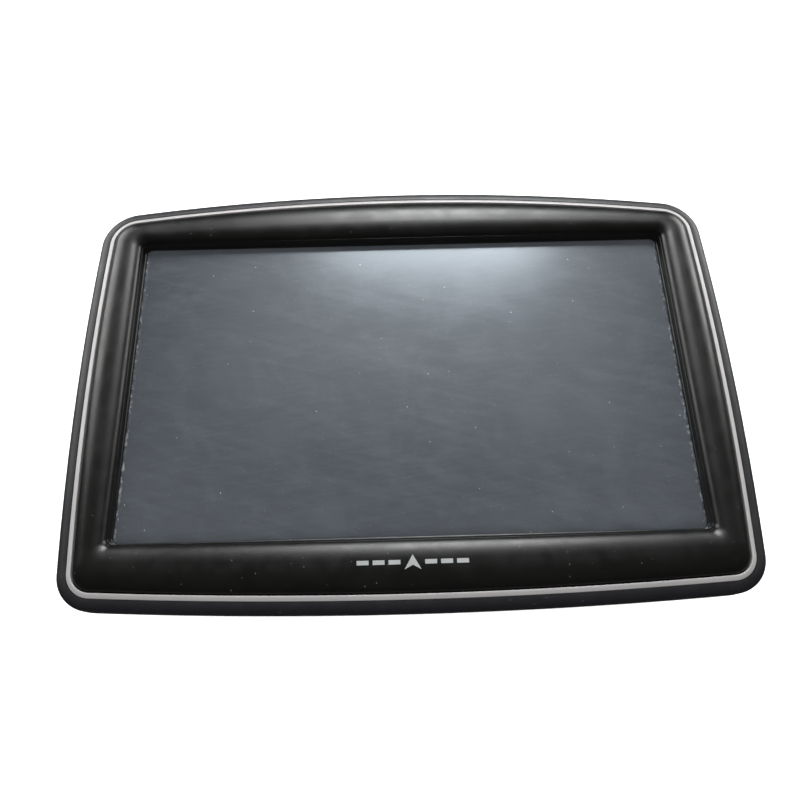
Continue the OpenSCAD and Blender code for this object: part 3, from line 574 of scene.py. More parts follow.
FINISHES: dict[str, Finish] = {f.name: f for f in (
    Finish("bezel_plastic", (0.0020, 0.0020, 0.0018), 0.34, Texture.SATIN, 0.16 * MM, 0.0016 * MM,
           specular=0.31, specular_tint=(1.0, 0.985, 0.975), variation=0.2, gloss_change=0.035, dust=0.16),
    Finish("trim_silver", (0.275, 0.266, 0.262), 0.56, Texture.FLAKES, 0.06 * MM, 0.0012 * MM, 0.55,
           variation=0.06, gloss_change=0.03),
    Finish("housing_plastic", (0.0045, 0.0045, 0.0052), 0.46, Texture.SPARK, 0.32 * MM, 0.014 * MM,
           specular=0.36, variation=0.12, gloss_change=0.04, dust=0.12),
    Finish("mark_silver", (0.19, 0.195, 0.195), 0.5, Texture.FLAKES, 0.06 * MM, 0.001 * MM, 0.3,
           variation=0.05),
    Finish("foam_black", (0.012, 0.012, 0.012), 0.9, Texture.FOAM, 0.25 * MM, 0.05 * MM),
    Finish("touch_glass", (0.20, 0.25, 0.26), 0.08, Texture.SATIN, 1.5 * MM, 0.0005 * MM, coat=0.4),
    Finish("tape_black", (0.015, 0.015, 0.015), 0.5, Texture.CREASED, 0.3 * MM, 0.004 * MM),
    Finish("flex_amber", (0.42, 0.19, 0.035), 0.28, Texture.BRUSHED, 0.3 * MM, 0.004 * MM, coat=0.3),
    steel("stamped_steel", 0.55),
    Finish("display_glass", (0.012, 0.014, 0.018), 0.12, Texture.SATIN, 1 * MM, 0.0005 * MM, coat=0.5),
    Finish("diffuser_white", (0.72, 0.72, 0.69), 0.55, Texture.PAPER, 0.1 * MM, 0.003 * MM, variation=0.03),
    Finish("frame_alloy", (0.42, 0.43, 0.44), 0.5, Texture.SPARK, 0.2 * MM, 0.006 * MM, 0.9),
    BoardMask("board_green", (0.012, 0.085, 0.05), 0.3, Texture.SATIN, 0.3 * MM, 0.006 * MM, coat=0.3),
    plastic("chip_black", (0.014, 0.014, 0.015), 0.6, 0.008 * MM),
    Finish("part_brown", (0.19, 0.14, 0.09), 0.55, Texture.SPARK, 0.3 * MM, 0.01 * MM, variation=0.35),
    plastic("nylon_cream", (0.72, 0.68, 0.56), 0.45),
    Finish("antenna_ceramic", (0.56, 0.50, 0.37), 0.6, Texture.SPARK, 0.15 * MM, 0.01 * MM),
    Finish("electrode_silver", (0.66, 0.66, 0.64), 0.42, Texture.CREASED, 0.08 * MM, 0.004 * MM, 1.0),
    Finish("cell_foil", (0.52, 0.52, 0.53), 0.34, Texture.CREASED, 0.35 * MM, 0.05 * MM, 0.85),
    Finish("tape_cream", (0.66, 0.61, 0.49), 0.7, Texture.PAPER, 0.15 * MM, 0.01 * MM),
    plastic("lead_wire", (0.38, 0.02, 0.02), 0.4),
    Finish("basket_black", (0.03, 0.03, 0.032), 0.42, Texture.SPARK, 0.2 * MM, 0.006 * MM, 0.2),
    steel("magnet_steel", 0.40, 0.12 * MM),
    Finish("surround_rubber", (0.010, 0.010, 0.010), 0.6, Texture.SPARK, 0.15 * MM, 0.005 * MM),
    Finish("cone_paper", (0.022, 0.022, 0.022), 0.75, Texture.PAPER, 0.12 * MM, 0.02 * MM),
    Finish("coil_copper", (0.55, 0.20, 0.08), 0.35, Texture.WINDINGS, 0.14 * MM, 0.05 * MM, 0.9),
    Finish("cloth_black", (0.010, 0.010, 0.010), 0.85, Texture.WEAVE, 0.3 * MM, 0.06 * MM),
    Finish("contact_gold", (0.68, 0.47, 0.17), 0.3, Texture.BRUSHED, 0.05 * MM, 0.001 * MM, 1.0),
    steel("socket_steel", 0.62, 0.05 * MM),
    plastic("socket_black", (0.012, 0.012, 0.012), 0.5),
    Finish("button_plastic", (0.021, 0.021, 0.023), 0.38, Texture.SATIN, 0.18 * MM, 0.004 * MM, dust=0.08),
    plastic("switch_body", (0.045, 0.045, 0.045), 0.5),
    Finish("screw_black", (0.06, 0.06, 0.064), 0.4, Texture.BRUSHED, 0.06 * MM, 0.002 * MM, 0.9),
    steel("screw_steel", 0.5, 0.06 * MM),
    Finish("label_grey", (0.22, 0.225, 0.23), 0.46, Texture.FLAKES, 0.1 * MM, 0.002 * MM, 0.25),
    Finish("floor_card", (0.86, 0.86, 0.855), 0.75, Texture.PAPER, 1.5 * MM, 0.01 * MM, variation=0.004,
           specular=0.1, gloss_change=0.02),
)}


class Paintbox:
    """Makes each finish's material once, when a piece first asks for it."""

    def __init__(self) -> None:
        """Starts with no material made."""
        self.made: dict[str, bpy.types.Material] = {}

    def add(self, finish: Finish) -> bpy.types.Material:
        """Makes a finish that needs sizes from the frame.

        Args:
            finish: The finish.

        Returns:
            Its material.
        """
        self.made[finish.name] = finish.build()
        return self.made[finish.name]

    def get(self, name: str) -> bpy.types.Material:
        """Returns the material of the finish with that name."""
        return self.made[name] if name in self.made else self.add(FINISHES[name])


# ---------------------------------------------------------------------------------------------------------
# Shapes


def mix(a: float, b: float, share: float) -> float:
    """Returns the value that lies share of the way from a to b."""
    return a + (b - a) * share


def between(a: Point, b: Point, share: float) -> Point:
    """Returns the point that lies share of the way from a to b."""
    return mix(a[0], b[0], share), mix(a[1], b[1], share)


def arc(centre: Point, radius: float, start: float, end: float, steps: int, first: int = 0) -> list[Point]:
    """Places points along an arc.

    Args:
        centre: Its centre.
        radius: Its radius.
        start: The angle it starts at.
        end: The angle it ends at.
        steps: How many steps it has.
        first: The first step to return, 1 to leave out the starting point.

    Returns:
        The points.
    """
    angles = [mix(start, end, i / steps) for i in range(first, steps + 1)]
    return [(centre[0] + radius * math.cos(a), centre[1] + radius * math.sin(a)) for a in angles]


def meeting(c1: Point, r1: float, c2: Point, r2: float) -> Point:
    """Finds where two circles meet.

    Args:
        c1: The first circle's centre.
        r1: The first circle's radius.
        c2: The second circle's centre.
        r2: The second circle's radius.

    Returns:
        The meeting point that is furthest right.
    """
    a, b = Vector(c1), Vector(c2)
    gap = (b - a).length
    along = (b - a) / gap
    reach = (r1 * r1 - r2 * r2 + gap * gap) / (2 * gap)
    rise = math.sqrt(r1 * r1 - reach * reach)
    across = Vector((-along.y, along.x)) * rise
    found = a + along * reach + (across if across.x > 0 else -across)
    return found.x, found.y


def bearing(point: Point, centre: Point) -> float:
    """Returns the angle of point seen from centre."""
    return math.atan2(point[1] - centre[1], point[0] - centre[0])


def mirrored(half: list[Point]) -> list[Point]:
    """Returns the whole outline whose right half is given from bottom middle to top middle."""
    return half + [(-x, y) for x, y in half[-2:0:-1]]


def at(points: Iterable[Point], z: float) -> Ring:
    """Returns the points as a ring at height z."""
    return [(x, y, z) for x, y in points]


@dataclass(frozen=True)
class Steps:
    """How many steps each stretch of half an outline has."""

    bottom: int = 22
    corner: int = 18
    side: int = 16
    top: int = 26


@dataclass
class Outline:
    """The case's outline: four shallow arcs with a round corner between each two."""

    width: float
    height: float
    top_arc_r: float = 460 * MM
    bottom_arc_r: float = 1000 * MM
    side_arc_r: float = 620 * MM
    side_y: float = 3 * MM
    top_corner_r: float = 8.6 * MM
    bottom_corner_r: float = 7.2 * MM
    corner_growth: float = 0.9
    least_corner_r: float = 2 * MM
    steps: Steps = field(default_factory=Steps)

    def half(self, inset: float, r_top: float, r_bottom: float) -> list[Point]:
        """Draws the right half of the outline.

        Args:
            inset: How far it is drawn in.
            r_top: The radius of its top corner.
            r_bottom: The radius of its bottom corner.

        Returns:
            Its points, from bottom middle to top middle.
        """
        s = self.steps
        side_c = (self.width / 2 - self.side_arc_r, self.side_y)
        top_c = (0.0, self.height / 2 - self.top_arc_r)
        bottom_c = (0.0, self.bottom_arc_r - self.height / 2)
        side_r, low_r, high_r = self.side_arc_r - inset, self.bottom_arc_r - inset, self.top_arc_r - inset
        low = meeting(bottom_c, low_r - r_bottom, side_c, side_r - r_bottom)
        high = meeting(top_c, high_r - r_top, side_c, side_r - r_top)
        a1, a2 = bearing(low, bottom_c), bearing(low, side_c)
        a3, a4 = bearing(high, side_c), bearing(high, top_c)
        return (arc(bottom_c, low_r, -QUARTER, a1, s.bottom) + arc(low, r_bottom, a1, a2, s.corner, 1)
                + arc(side_c, side_r, a2, a3, s.side, 1) + arc(high, r_top, a3, a4, s.corner, 1)
                + arc(top_c, high_r, a4, QUARTER, s.top, 1))

    def rectangle(self, width: float, height: float, radius: float, y: float) -> list[Point]:
        """Draws the right half of a rounded rectangle, with as many points as half().

        Args:
            width: Its width.
            height: Its height.
            radius: The radius of its corners.
            y: The height of its middle.

        Returns:
            Its points, from bottom middle to top middle.
        """
        s = self.steps
        x, low, high = width / 2, y - height / 2, y + height / 2

        def run(a: Point, b: Point, steps: int, first: int) -> list[Point]:
            """Returns points along a straight stretch."""
            return [between(a, b, i / steps) for i in range(first, steps + 1)]

        return (run((0, low), (x - radius, low), s.bottom, 0)
                + arc((x - radius, low + radius), radius, -QUARTER, 0, s.corner, 1)
                + run((x, low + radius), (x, high - radius), s.side, 1)
                + arc((x - radius, high - radius), radius, 0, QUARTER, s.corner, 1)
                + run((x - radius, high), (0, high), s.top, 1))

    def rim(self, inset: float, z: float) -> Ring:
        """Returns a ring drawn in a little, with corners that keep their centres."""
        return at(mirrored(self.half(inset, self.top_corner_r - inset, self.bottom_corner_r - inset)), z)

    def rear(self, inset: float, thick: float, z: float) -> Ring:
        """Returns a ring of the rear, with corners that grow as it draws in.

        Args:
            inset: How far the ring is drawn in.
            thick: The wall's thickness for the inner face, and 0 for the outer face.
            z: The ring's height.

        Returns:
            The ring.
        """
        grow = self.corner_growth * (inset - thick) - thick
        r_top = max(self.top_corner_r + grow, self.least_corner_r)
        r_bottom = max(self.bottom_corner_r + grow, self.least_corner_r)
        return at(mirrored(self.half(inset, r_top, r_bottom)), z)


def finish_mesh(name: str, bm: bmesh.types.BMesh, sharp_deg: float = 32) -> bpy.types.Object:
    """Turns a bmesh into an object with clean normals.

    Args:
        name: The object's name.
        bm: The mesh, which is freed.
        sharp_deg: Edges that bend more than this stay sharp.

    Returns:
        The object, linked into the scene.
    """
    bmesh.ops.recalc_face_normals(bm, faces=bm.faces)
    mesh = bpy.data.meshes.new(name)
    bm.to_mesh(mesh)
    bm.free()
    mesh.polygons.foreach_set("use_smooth", [True] * len(mesh.polygons))
    mesh.set_sharp_from_angle(angle=math.radians(sharp_deg))
    piece = bpy.data.objects.new(name, mesh)
    bpy.context.scene.collection.objects.link(piece)
    return piece


def skin(bm: bmesh.types.BMesh, rings: Sequence[Ring], closed: bool = False) -> None:
    """Skins a list of rings.

    Args:
        bm: The mesh to add to.
        rings: Rings with the same count of points.
        closed: Joins the last ring to the first; otherwise both ends get a flat cap.
    """
    rows = [[bm.verts.new(p) for p in ring] for ring in rings]
    pairs = list(zip(rows, rows[1:])) + ([(rows[-1], rows[0])] if closed else [])
    for a, b in pairs:
        for i in range(len(a)):
            j = (i + 1) % len(a)
            bm.faces.new((a[i], a[j], b[j], b[i]))
    if not closed:
        bm.faces.new(rows[0])
        bm.faces.new(rows[-1])


def loft(name: str, rings: Sequence[Ring], closed: bool = False, sharp_deg: float = 32) -> bpy.types.Object:
    """Makes an object through a list of rings.

    Args:
        name: The object's name.
        rings: Rings with the same count of points.
        closed: Joins the last ring to the first.
        sharp_deg: Edges that bend more than this stay sharp.

    Returns:
        The object.
    """
    bm = bmesh.new()
    skin(bm, rings, closed)
    return finish_mesh(name, bm, sharp_deg)


def turned(bm: bmesh.types.BMesh, profile: Sequence[Point], centre: Point = (0.0, 0.0),
           steps: int = 128) -> None:
    """Turns a profile about a vertical line.

    Args:
        bm: The mesh to add to.
        profile: (radius, height) points; the first and last lie on the line or close the shape flat.
        centre: Where the line stands.
        steps: How many steps a turn has.
    """
    rings = [[(centre[0] + r * math.cos(a), centre[1] + r * math.sin(a), z)
              for a in (math.tau * i / steps for i in range(steps))] for r, z in profile]
    skin(bm, rings)


def oval(width: float, thick: float, steps: int = 14) -> list[Point]:
    """Draws a flat-sided oval, wide along its first axis.

    Args:
        width: Its whole width.
        thick: Its thickness, which is the diameter of its ends.
        steps: How many steps each end has.

    Returns:
        Its points.
    """
    r, reach = thick / 2, (width - thick) / 2
    return arc((reach, 0), r, -QUARTER, QUARTER, steps) + arc((-reach, 0), r, QUARTER, 3 * QUARTER, steps)


def rounded(width: float, height: float, radius: float, steps: int = 6) -> list[Point]:
    """Draws a rounded rectangle about the origin.

    Args:
        width: Its width.
        height: Its height.
        radius: The radius of its corners.
        steps: How many steps each corner has.

    Returns:
        Its points.
    """
    x, y = width / 2 - radius, height / 2 - radius
    corners = ((x, y), (-x, y), (-x, -y), (x, -y))
    return [p for k, corner in enumerate(corners)
            for p in arc(corner, radius, k * QUARTER, (k + 1) * QUARTER, steps)]


def standing(points: Iterable[Point], x: float, z: float, y: float) -> Ring:
    """Returns points of a section that faces along Y, about (x, z), as a ring at y."""
    return [(x + u, y, z + v) for u, v in points]


def bar(section: list[Point], middle: Point, y1: float, y2: float) -> bpy.types.Object:
    """Makes a bar along Y, to join or cut with.

    Args:
        section: Its section in X and Z.
        middle: Where the section's middle is.
        y1: Where it starts.
        y2: Where it ends.

    Returns:
        The bar.
    """
    return loft("tool", [standing(section, *middle, y1), standing(section, *middle, y2)])


def middle_of(low: Vector, high: Vector) -> Point:
    """Returns where the middle of a box is in X and Z."""
    return (low.x + high.x) / 2, (low.z + high.z) / 2


def carve(body: bpy.types.Object, tool: bpy.types.Object, operation: str) -> None:
    """Joins a tool to a body, cuts it away or keeps what both hold, and deletes the tool.

    Args:
        body: The object that changes.
        tool: The other object.
        operation: UNION, DIFFERENCE or INTERSECT.
    """
    step = body.modifiers.new("carve", "BOOLEAN")
    step.operation = operation
    step.solver = "EXACT"
    step.object = tool
    graph = bpy.context.evaluated_depsgraph_get()
    mesh = bpy.data.meshes.new_from_object(body.evaluated_get(graph))
    body.modifiers.remove(step)
    old = body.data
    body.data = mesh
    bpy.data.meshes.remove(old)
    bpy.data.objects.remove(tool)


# ---------------------------------------------------------------------------------------------------------
# Sub-assemblies


BEVEL_FROM = math.radians(40)


@dataclass
class SubAssembly:
    """A group of pieces that are made and dressed together."""

    paints: Paintbox
    frame: dict

    def put(self, piece: bpy.types.Object, finish: str, body: str, *stands_for: str) -> bpy.types.Object:
        """Gives a new piece its finish, and its place in the frame.

        Args:
            piece: The piece.
            finish: The finish's name, which is also the record's material slot.
            body: The body it moves with.
            stands_for: The frame's nodes that it stands for.

        Returns:
            The piece.
        """
        piece.data.materials.clear()
        piece.data.materials.append(self.paints.get(finish))
        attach(piece, body)
        if stands_for:
            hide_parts(*stands_for)
        LOG.info("%s: %d faces, %s", piece.name, len(piece.data.polygons), finish)
        return piece

    def dress(self, finishes: dict[str, str], bevel: float = 0.0) -> None:
        """Gives nodes of the frame their finish.

        Args:
            finishes: The finish of each node.
            bevel: The width of a small rounding on their edges, or 0.
        """
        for node, finish in finishes.items():
            piece = self.frame["nodes"][node]
            material = self.paints.get(finish)
            if not piece.material_slots:
                piece.data.materials.append(material)
            for slot in piece.material_slots:
                slot.material = material
            if bevel > 0:
                edge = piece.modifiers.new("edge", "BEVEL")
                edge.width = bevel
                edge.segments = 2
                edge.limit_method = "ANGLE"
                edge.angle_limit = BEVEL_FROM
            LOG.info("%s: kept from the frame, %s", node, finish)


@dataclass
class Levels:
    """The heights and insets that the case's rings share, read from the frame."""

    crest: float
    film: float
    trim: float
    gasket: float = 0.4 * MM
    trim_inset: float = 2.15 * MM
    trim_w: float = 1.09 * MM
    trim_drop: float = 0.33 * MM
    rim_drop: float = 1.45 * MM
    ledge_drop: float = 1.0 * MM
    skirt_drop: float = 0.9 * MM
    gap: float = 0.1 * MM
    back: float = 3.0 * MM
    wall: float = 1.8 * MM

    @classmethod
    def from_frame(cls) -> "Levels":
        """Returns the levels of the loaded frame."""
        return cls(*(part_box(node)[1].z for node in ("front_bezel", "touch_film", "trim_ring")))

    @property
    def trim_low(self) -> float:
        """The height of the trim ring's outer edge."""
        return self.trim - self.trim_drop

    @property
    def rim(self) -> float:
        """The height of the case's widest line."""
        return self.trim_low - self.rim_drop

    @property
    def ledge(self) -> float:
        """The height of the ledge that the trim ring lies on."""
        return self.trim_low - self.ledge_drop

    @property
    def skirt(self) -> float:
        """The height of the bezel's lower edge."""
        return self.film - self.skirt_drop

    @property
    def ledge_inset(self) -> float:
        """How far in the ledge reaches."""
        return self.trim_inset + self.trim_w + self.gap


@dataclass
class Bezel(SubAssembly):
    """The pillow-shaped bezel, the trim ring round it and the gasket behind its lip."""

    outline: Outline
    levels: Levels
    window_w: float = 112.9 * MM
    window_h: float = 65.1 * MM
    window_corner_r: float = 1.2 * MM
    window_y: float = 0.42 * MM
    crest_from: float = 0.46
    crest_to: float = 0.53
    lip_share: float = 0.92
    lip_end: float = 0.945
    foot_share: float = 0.975
    lip_rise: float = 2.3 * MM
    foot_rise: float = 0.5 * MM
    shell: float = 1.5 * MM
    shell_slope: float = 0.5 * MM
    back_share: float = 0.72
    slope_share: float = 0.62
    skirt_share: float = 0.16
    crown_drop: float = 0.5 * MM
    edge_share: float = 0.006
    lip_drops: Point = (0.06 * MM, 0.16 * MM)
    foot_lift: float = 0.05 * MM
    foot_drops: Point = (0.02 * MM, 0.1 * MM)
    trim_edge_r: float = 0.12 * MM
    trim_crown: float = 0.56
    roll_steps: int = 14

    def ring(self, share: float, z: float) -> Ring:
        """Draws a ring of the bezel.

        Args:
            share: 0 at the trim and 1 at the window's edge.
            z: Its height.

        Returns:
            The ring.
        """
        inset, around = self.levels.ledge_inset + self.levels.gap, self.outline
        edge = around.half(inset, around.top_corner_r - inset, around.bottom_corner_r - inset)
        window = around.rectangle(self.window_w, self.window_h, self.window_corner_r, self.window_y)
        return at(mirrored([between(a, b, share) for a, b in zip(edge, window)]), z)

    def profile(self) -> list[Point]:
        """Draws the bezel's section, from the skirt over the crest and the lip and round to the skirt.

        Returns:
            (share, height) points.
        """
        lv, edge = self.levels, self.edge_share
        low, lip, hollow = lv.trim - self.crown_drop, lv.film + self.lip_rise, lv.crest - self.shell
        under = lv.film + lv.gasket
        foot = under + self.foot_rise
        turns = [QUARTER * i / self.roll_steps for i in range(self.roll_steps + 1)]
        outer = [(self.crest_from * (1 - math.cos(a)), mix(low, lv.crest, math.sin(a))) for a in turns]
        inner = [(mix(self.crest_to, self.lip_share, math.sin(a)), mix(lip, lv.crest, math.cos(a)))
                 for a in turns]
        lip_edge = [(self.lip_end - edge, lip), (self.lip_end, lip - self.lip_drops[0]),
                    (self.lip_end + edge, lip - self.lip_drops[1])]
        foot_edge = [(self.foot_share, foot + self.foot_lift), (self.foot_share + edge, foot),
                     (1 - edge, foot - self.foot_drops[0]), (1.0, foot - self.foot_drops[1]), (1.0, under)]
        back = [(self.back_share, under), (self.slope_share, hollow - self.shell_slope),
                (self.crest_from, hollow), (self.skirt_share, lv.trim - self.shell),
                (self.skirt_share, lv.skirt)]
        return [(0.0, lv.skirt)] + outer + inner + lip_edge + foot_edge + back

    def make(self) -> None:
        """Makes the bezel and the trim ring, and dresses the mark and the gasket."""
        rings = [self.ring(share, z) for share, z in self.profile()]
        self.put(loft("bezel", rings, closed=True), "bezel_plastic", CASE, "front_bezel")
        self.put(self.trim(), "trim_silver", CASE, "trim_ring")
        self.dress({"bezel_mark": "mark_silver"}, bevel=0.06 * MM)
        self.dress({"screen_gasket": "foam_black"})

    def trim(self) -> bpy.types.Object:
        """Makes the trim ring.

        Returns:
            A narrow band with rounded edges.
        """
        lv, r = self.levels, self.trim_edge_r
        outer, inner = lv.trim_inset + lv.gap, lv.trim_inset + lv.trim_w
        mid = MIDWAY * r
        top = [(outer, lv.trim_low - r), (outer + mid, lv.trim_low - mid), (outer + r, lv.trim_low),
               (mix(outer, inner, 0.5), mix(lv.trim_low, lv.trim, self.trim_crown)), (inner - r, lv.trim),
               (inner - mid, lv.trim - mid), (inner, lv.trim - r)]
        section = [(outer, lv.ledge)] + top + [(inner, lv.ledge)]
        rings = [self.outline.rim(inset, z) for inset, z in section]
        return loft("trim_band", rings, closed=True, sharp_deg=60)


@dataclass
class RearHousing(SubAssembly):
    """The pebble-shaped rear housing, with its boss, grille, screw wells, socket bay and button hole."""

    outline: Outline
    levels: Levels
    taper: float = 14 * MM
    power: float = 2.6
    outer_steps: int = 26
    shoulder_steps: int = 8
    inner_steps: int = 12
    inner_from: float = math.radians(20)
    boss_r: float = 27.5 * MM
    boss_neck: float = 1.0 * MM
    boss_lip: float = 1.6 * MM
    boss_edge: float = 0.4 * MM
    speaker_r: float = 16.8 * MM
    grille_hole_r: float = 0.75 * MM
    grille_rings: int = 4
    screw_x: float = 44 * MM
    screw_y: float = 23.6 * MM
    well_r: float = 2.2 * MM
    well_depth: float = 2.2 * MM
    screw_hole_r: float = 1.15 * MM
    tower_r: float = 3.2 * MM
    label_w: float = 15 * MM
    label_h: float = 26 * MM
    label_x: float = -40.5 * MM
    label_recess: float = 0.3 * MM
    bay_w: float = 12 * MM
    bay_h: float = 6.9 * MM
    bay_wall: float = 1.6 * MM
    bay_corner_r: float = 1.1 * MM
    block_corner_r: float = 0.5 * MM
    skirt_clear: float = 0.2 * MM
    skirt_run: float = 2.0 * MM
    tower_rise: float = 2.4 * MM
    boss_lip_r: float = 0.12 * MM
    speaker_gap: float = 0.3 * MM
    speaker_seat: float = 1.2 * MM
    grille_margin: float = 3 * MM
    grille_flare: float = 0.15 * MM
    well_flare: float = 1.2 * MM
    label_corner_r: float = 1.5 * MM
    socket_gap: float = 0.3 * MM
    socket_depth: float = 5 * MM
    flange_room: float = 3.4 * MM
    boss_edge_steps: int = 5
    boss_steps: int = 160
    cup_steps: int = 96
    grille_steps: int = 24
    well_steps: int = 40
    tower_steps: int = 48

    def rear_ring(self, angle: float, thick: float, bottom: float) -> Ring:
        """Draws a ring of the curve from the rim to the flat back.

        Args:
            angle: 0 at the rim, a right angle at the back.
            thick: The wall's thickness for the inner face, and 0 for the outer face.
            bottom: The height of the flat back.

        Returns:
            The ring.
        """
        share_z = max(math.sin(angle), 0.0) ** (2 / self.power)
        share_in = 1 - max(math.cos(angle), 0.0) ** (2 / self.power)
        z = mix(self.levels.rim, bottom, share_z)
        return self.outline.rear(mix(thick, self.taper, share_in), thick, z)

    def outer_rings(self, thick: float) -> list[Ring]:
        """Draws the rear's outer face, or a face inside it.

        Args:
            thick: How far inside the outer face it lies.

        Returns:
            Its rings, from the back up to the rim.
        """
        return [self.rear_ring(QUARTER * (1 - i / self.outer_steps), thick, self.levels.back + thick)
                for i in range(self.outer_steps + 1)]

    def shell(self) -> bpy.types.Object:
        """Makes the bare shell.

        Returns:
            A skin that goes up the outer face, over the shoulder and ledge, and down the inner face.
        """
        lv, rim = self.levels, self.outline.rim
        turns = [QUARTER * i / self.shoulder_steps for i in range(1, self.shoulder_steps + 1)]
        rings = self.outer_rings(0.0)
        rings += [rim(lv.trim_inset * (1 - math.cos(a)), mix(lv.rim, lv.trim_low, math.sin(a)))
                  for a in turns]
        rings += [rim(lv.trim_inset, lv.ledge), rim(lv.ledge_inset, lv.ledge),
                  rim(lv.ledge_inset, lv.skirt - self.skirt_clear),
                  rim(lv.wall, lv.skirt - self.skirt_clear - self.skirt_run)]
        rings += [self.rear_ring(mix(self.inner_from, QUARTER, i / self.inner_steps), lv.wall,
                                 lv.back + lv.wall) for i in range(self.inner_steps + 1)]
        return loft("rear_shell", rings)

    def wall_block(self, block: bpy.types.Object) -> bpy.types.Object:
        """Makes a thickened place in the wall.

        Args:
            block: A bar that runs out through the wall.

        Returns:
            The bar, trimmed a little inside the case's outer face.
        """
        carve(block, loft("tool", self.outer_rings(self.levels.wall / 3)), "INTERSECT")
        return block

    def towers(self) -> bpy.types.Object:
        """Makes the towers that the case screws pass through.

        Returns:
            The four round towers.
        """
        bm, floor, r = bmesh.new(), self.levels.back + self.levels.wall, self.tower_r
        for spot in self.screw_spots():
            turned(bm, [(r, floor - self.levels.wall / 2), (r, floor + self.tower_rise)], spot,
                   self.tower_steps)
        return finish_mesh("towers", bm)

    def screw_spots(self) -> list[Point]:
        """Returns where the four case screws stand."""
        return [(sx * self.screw_x, sy * self.screw_y) for sx in (-1, 1) for sy in (-1, 1)]

    def boss(self) -> bpy.types.Object:
        """Makes the boss.

        Returns:
            A round boss with a lip and a neck.
        """
        lv, neck, small = self.levels, self.boss_r - self.boss_neck, self.boss_lip_r
        turns = [QUARTER * i / self.boss_edge_steps for i in range(self.boss_edge_steps + 1)]
        edge = [(self.boss_r - self.boss_edge * (1 - math.sin(a)), self.boss_edge * (1 - math.cos(a)))
                for a in turns]
        lip = [(self.boss_r, self.boss_lip - small), (self.boss_r - small, self.boss_lip),
               (neck, self.boss_lip), (neck, lv.back + lv.wall / 2)]
        bm = bmesh.new()
        turned(bm, edge + lip, steps=self.boss_steps)
        return finish_mesh("boss", bm)

    def grille_spots(self) -> list[Point]:
        """Places the grille's holes in rings of 6, 12, 18 and so on round the first.

        Returns:
            Where the holes stand.
        """
        pitch = (self.speaker_r - self.grille_margin) / (self.grille_rings + 0.5)
        turns = [(ring * pitch, math.tau * k / (6 * ring))
                 for ring in range(1, self.grille_rings + 1) for k in range(6 * ring)]
        return [(0.0, 0.0)] + [(r * math.cos(a), r * math.sin(a)) for r, a in turns]

    def holes(self) -> bpy.types.Object:
        """Makes the tool that cuts every round hole of the back.

        Returns:
            The holes of the grille, and the wells and holes of the case screws.
        """
        lv, bm, flare = self.levels, bmesh.new(), self.grille_flare
        for spot in self.grille_spots():
            turned(bm, [(self.grille_hole_r + 2 * flare, -flare), (self.grille_hole_r, flare),
                        (self.grille_hole_r, lv.wall + OVERCUT / 2)], spot, self.grille_steps)
        seat = lv.back + self.well_depth
        for spot in self.screw_spots():
            turned(bm, [(self.well_r + self.well_flare, lv.back - OVERCUT),
                        (self.well_r, lv.back + OVERCUT / 5), (self.well_r, seat),
                        (self.screw_hole_r, seat), (self.screw_hole_r, seat + 6 * OVERCUT)], spot,
                   self.well_steps)
        return finish_mesh("holes", bm)

    def cup(self) -> bpy.types.Object:
        """Makes the tool that hollows the boss.

        Returns:
            The space inside the boss, with the ring that seats the speaker left standing.
        """
        lv, bm = self.levels, bmesh.new()
        ring_in, cup_r = self.speaker_r + self.speaker_gap, self.boss_r - self.boss_neck - lv.wall
        ring_out, floor = ring_in + self.speaker_seat, lv.back + lv.wall
        ring_top = floor - OVERCUT / 5
        turned(bm, [(ring_in, lv.wall), (ring_in, ring_top), (ring_out, ring_top), (ring_out, lv.wall),
                    (cup_r, lv.wall), (cup_r, floor + OVERCUT / 20)], steps=self.cup_steps)
        return finish_mesh("cup", bm)

    def add_walls(self, shell: bpy.types.Object, button: "ButtonSizes") -> None:
        """Joins the blocks round the socket bay and the button, the boss and the towers.

        Args:
            shell: The shell that they join.
            button: The power button's sizes.
        """
        low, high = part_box("usb_shell")
        beyond, walls, r = self.outline.height, 2 * self.bay_wall, self.block_corner_r
        bay = bar(rounded(self.bay_w + walls, self.bay_h + walls, r), middle_of(low, high), -beyond,
                  low.y + self.bay_wall)
        carve(shell, self.wall_block(bay), "UNION")
        block = bar(rounded(button.width + button.wall_w, button.thick + button.wall_h, r), button.middle,
                    button.seat_y, beyond)
        carve(shell, self.wall_block(block), "UNION")
        carve(shell, self.boss(), "UNION")
        carve(shell, self.towers(), "UNION")

    def cut_openings(self, shell: bpy.types.Object, button: "ButtonSizes") -> None:
        """Cuts the boss's inside, the round holes, the bay, the button's hole and the label's recess.

        Args:
            shell: The shell that they are cut from.
            button: The power button's sizes.
        """
        back, beyond, gap = self.levels.back, self.outline.height, 2 * button.gap
        low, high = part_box("usb_shell")
        socket_w, socket_h = (high.x - low.x) + 2 * self.socket_gap, (high.z - low.z) + 2 * self.socket_gap
        bay = rounded(self.bay_w, self.bay_h, self.bay_corner_r)
        socket = rounded(socket_w, socket_h, self.socket_gap)
        hole = oval(button.width + gap, button.thick + gap)
        seat = oval(button.flange_w + gap, button.flange_h + gap)
        label = [(self.label_x + u, v) for u, v in rounded(self.label_w, self.label_h, self.label_corner_r)]
        for tool in (
            self.cup(),
            self.holes(),
            bar(bay, middle_of(low, high), low.y, -beyond),
            bar(socket, middle_of(low, high), low.y - OVERCUT, low.y + self.socket_depth),
            bar(hole, button.middle, button.seat_y - OVERCUT, beyond),
            bar(seat, button.middle, button.seat_y - self.flange_room, button.seat_y),
            loft("tool", [at(label, back - OVERCUT), at(label, back + self.label_recess)]),
        ):
            carve(shell, tool, "DIFFERENCE")

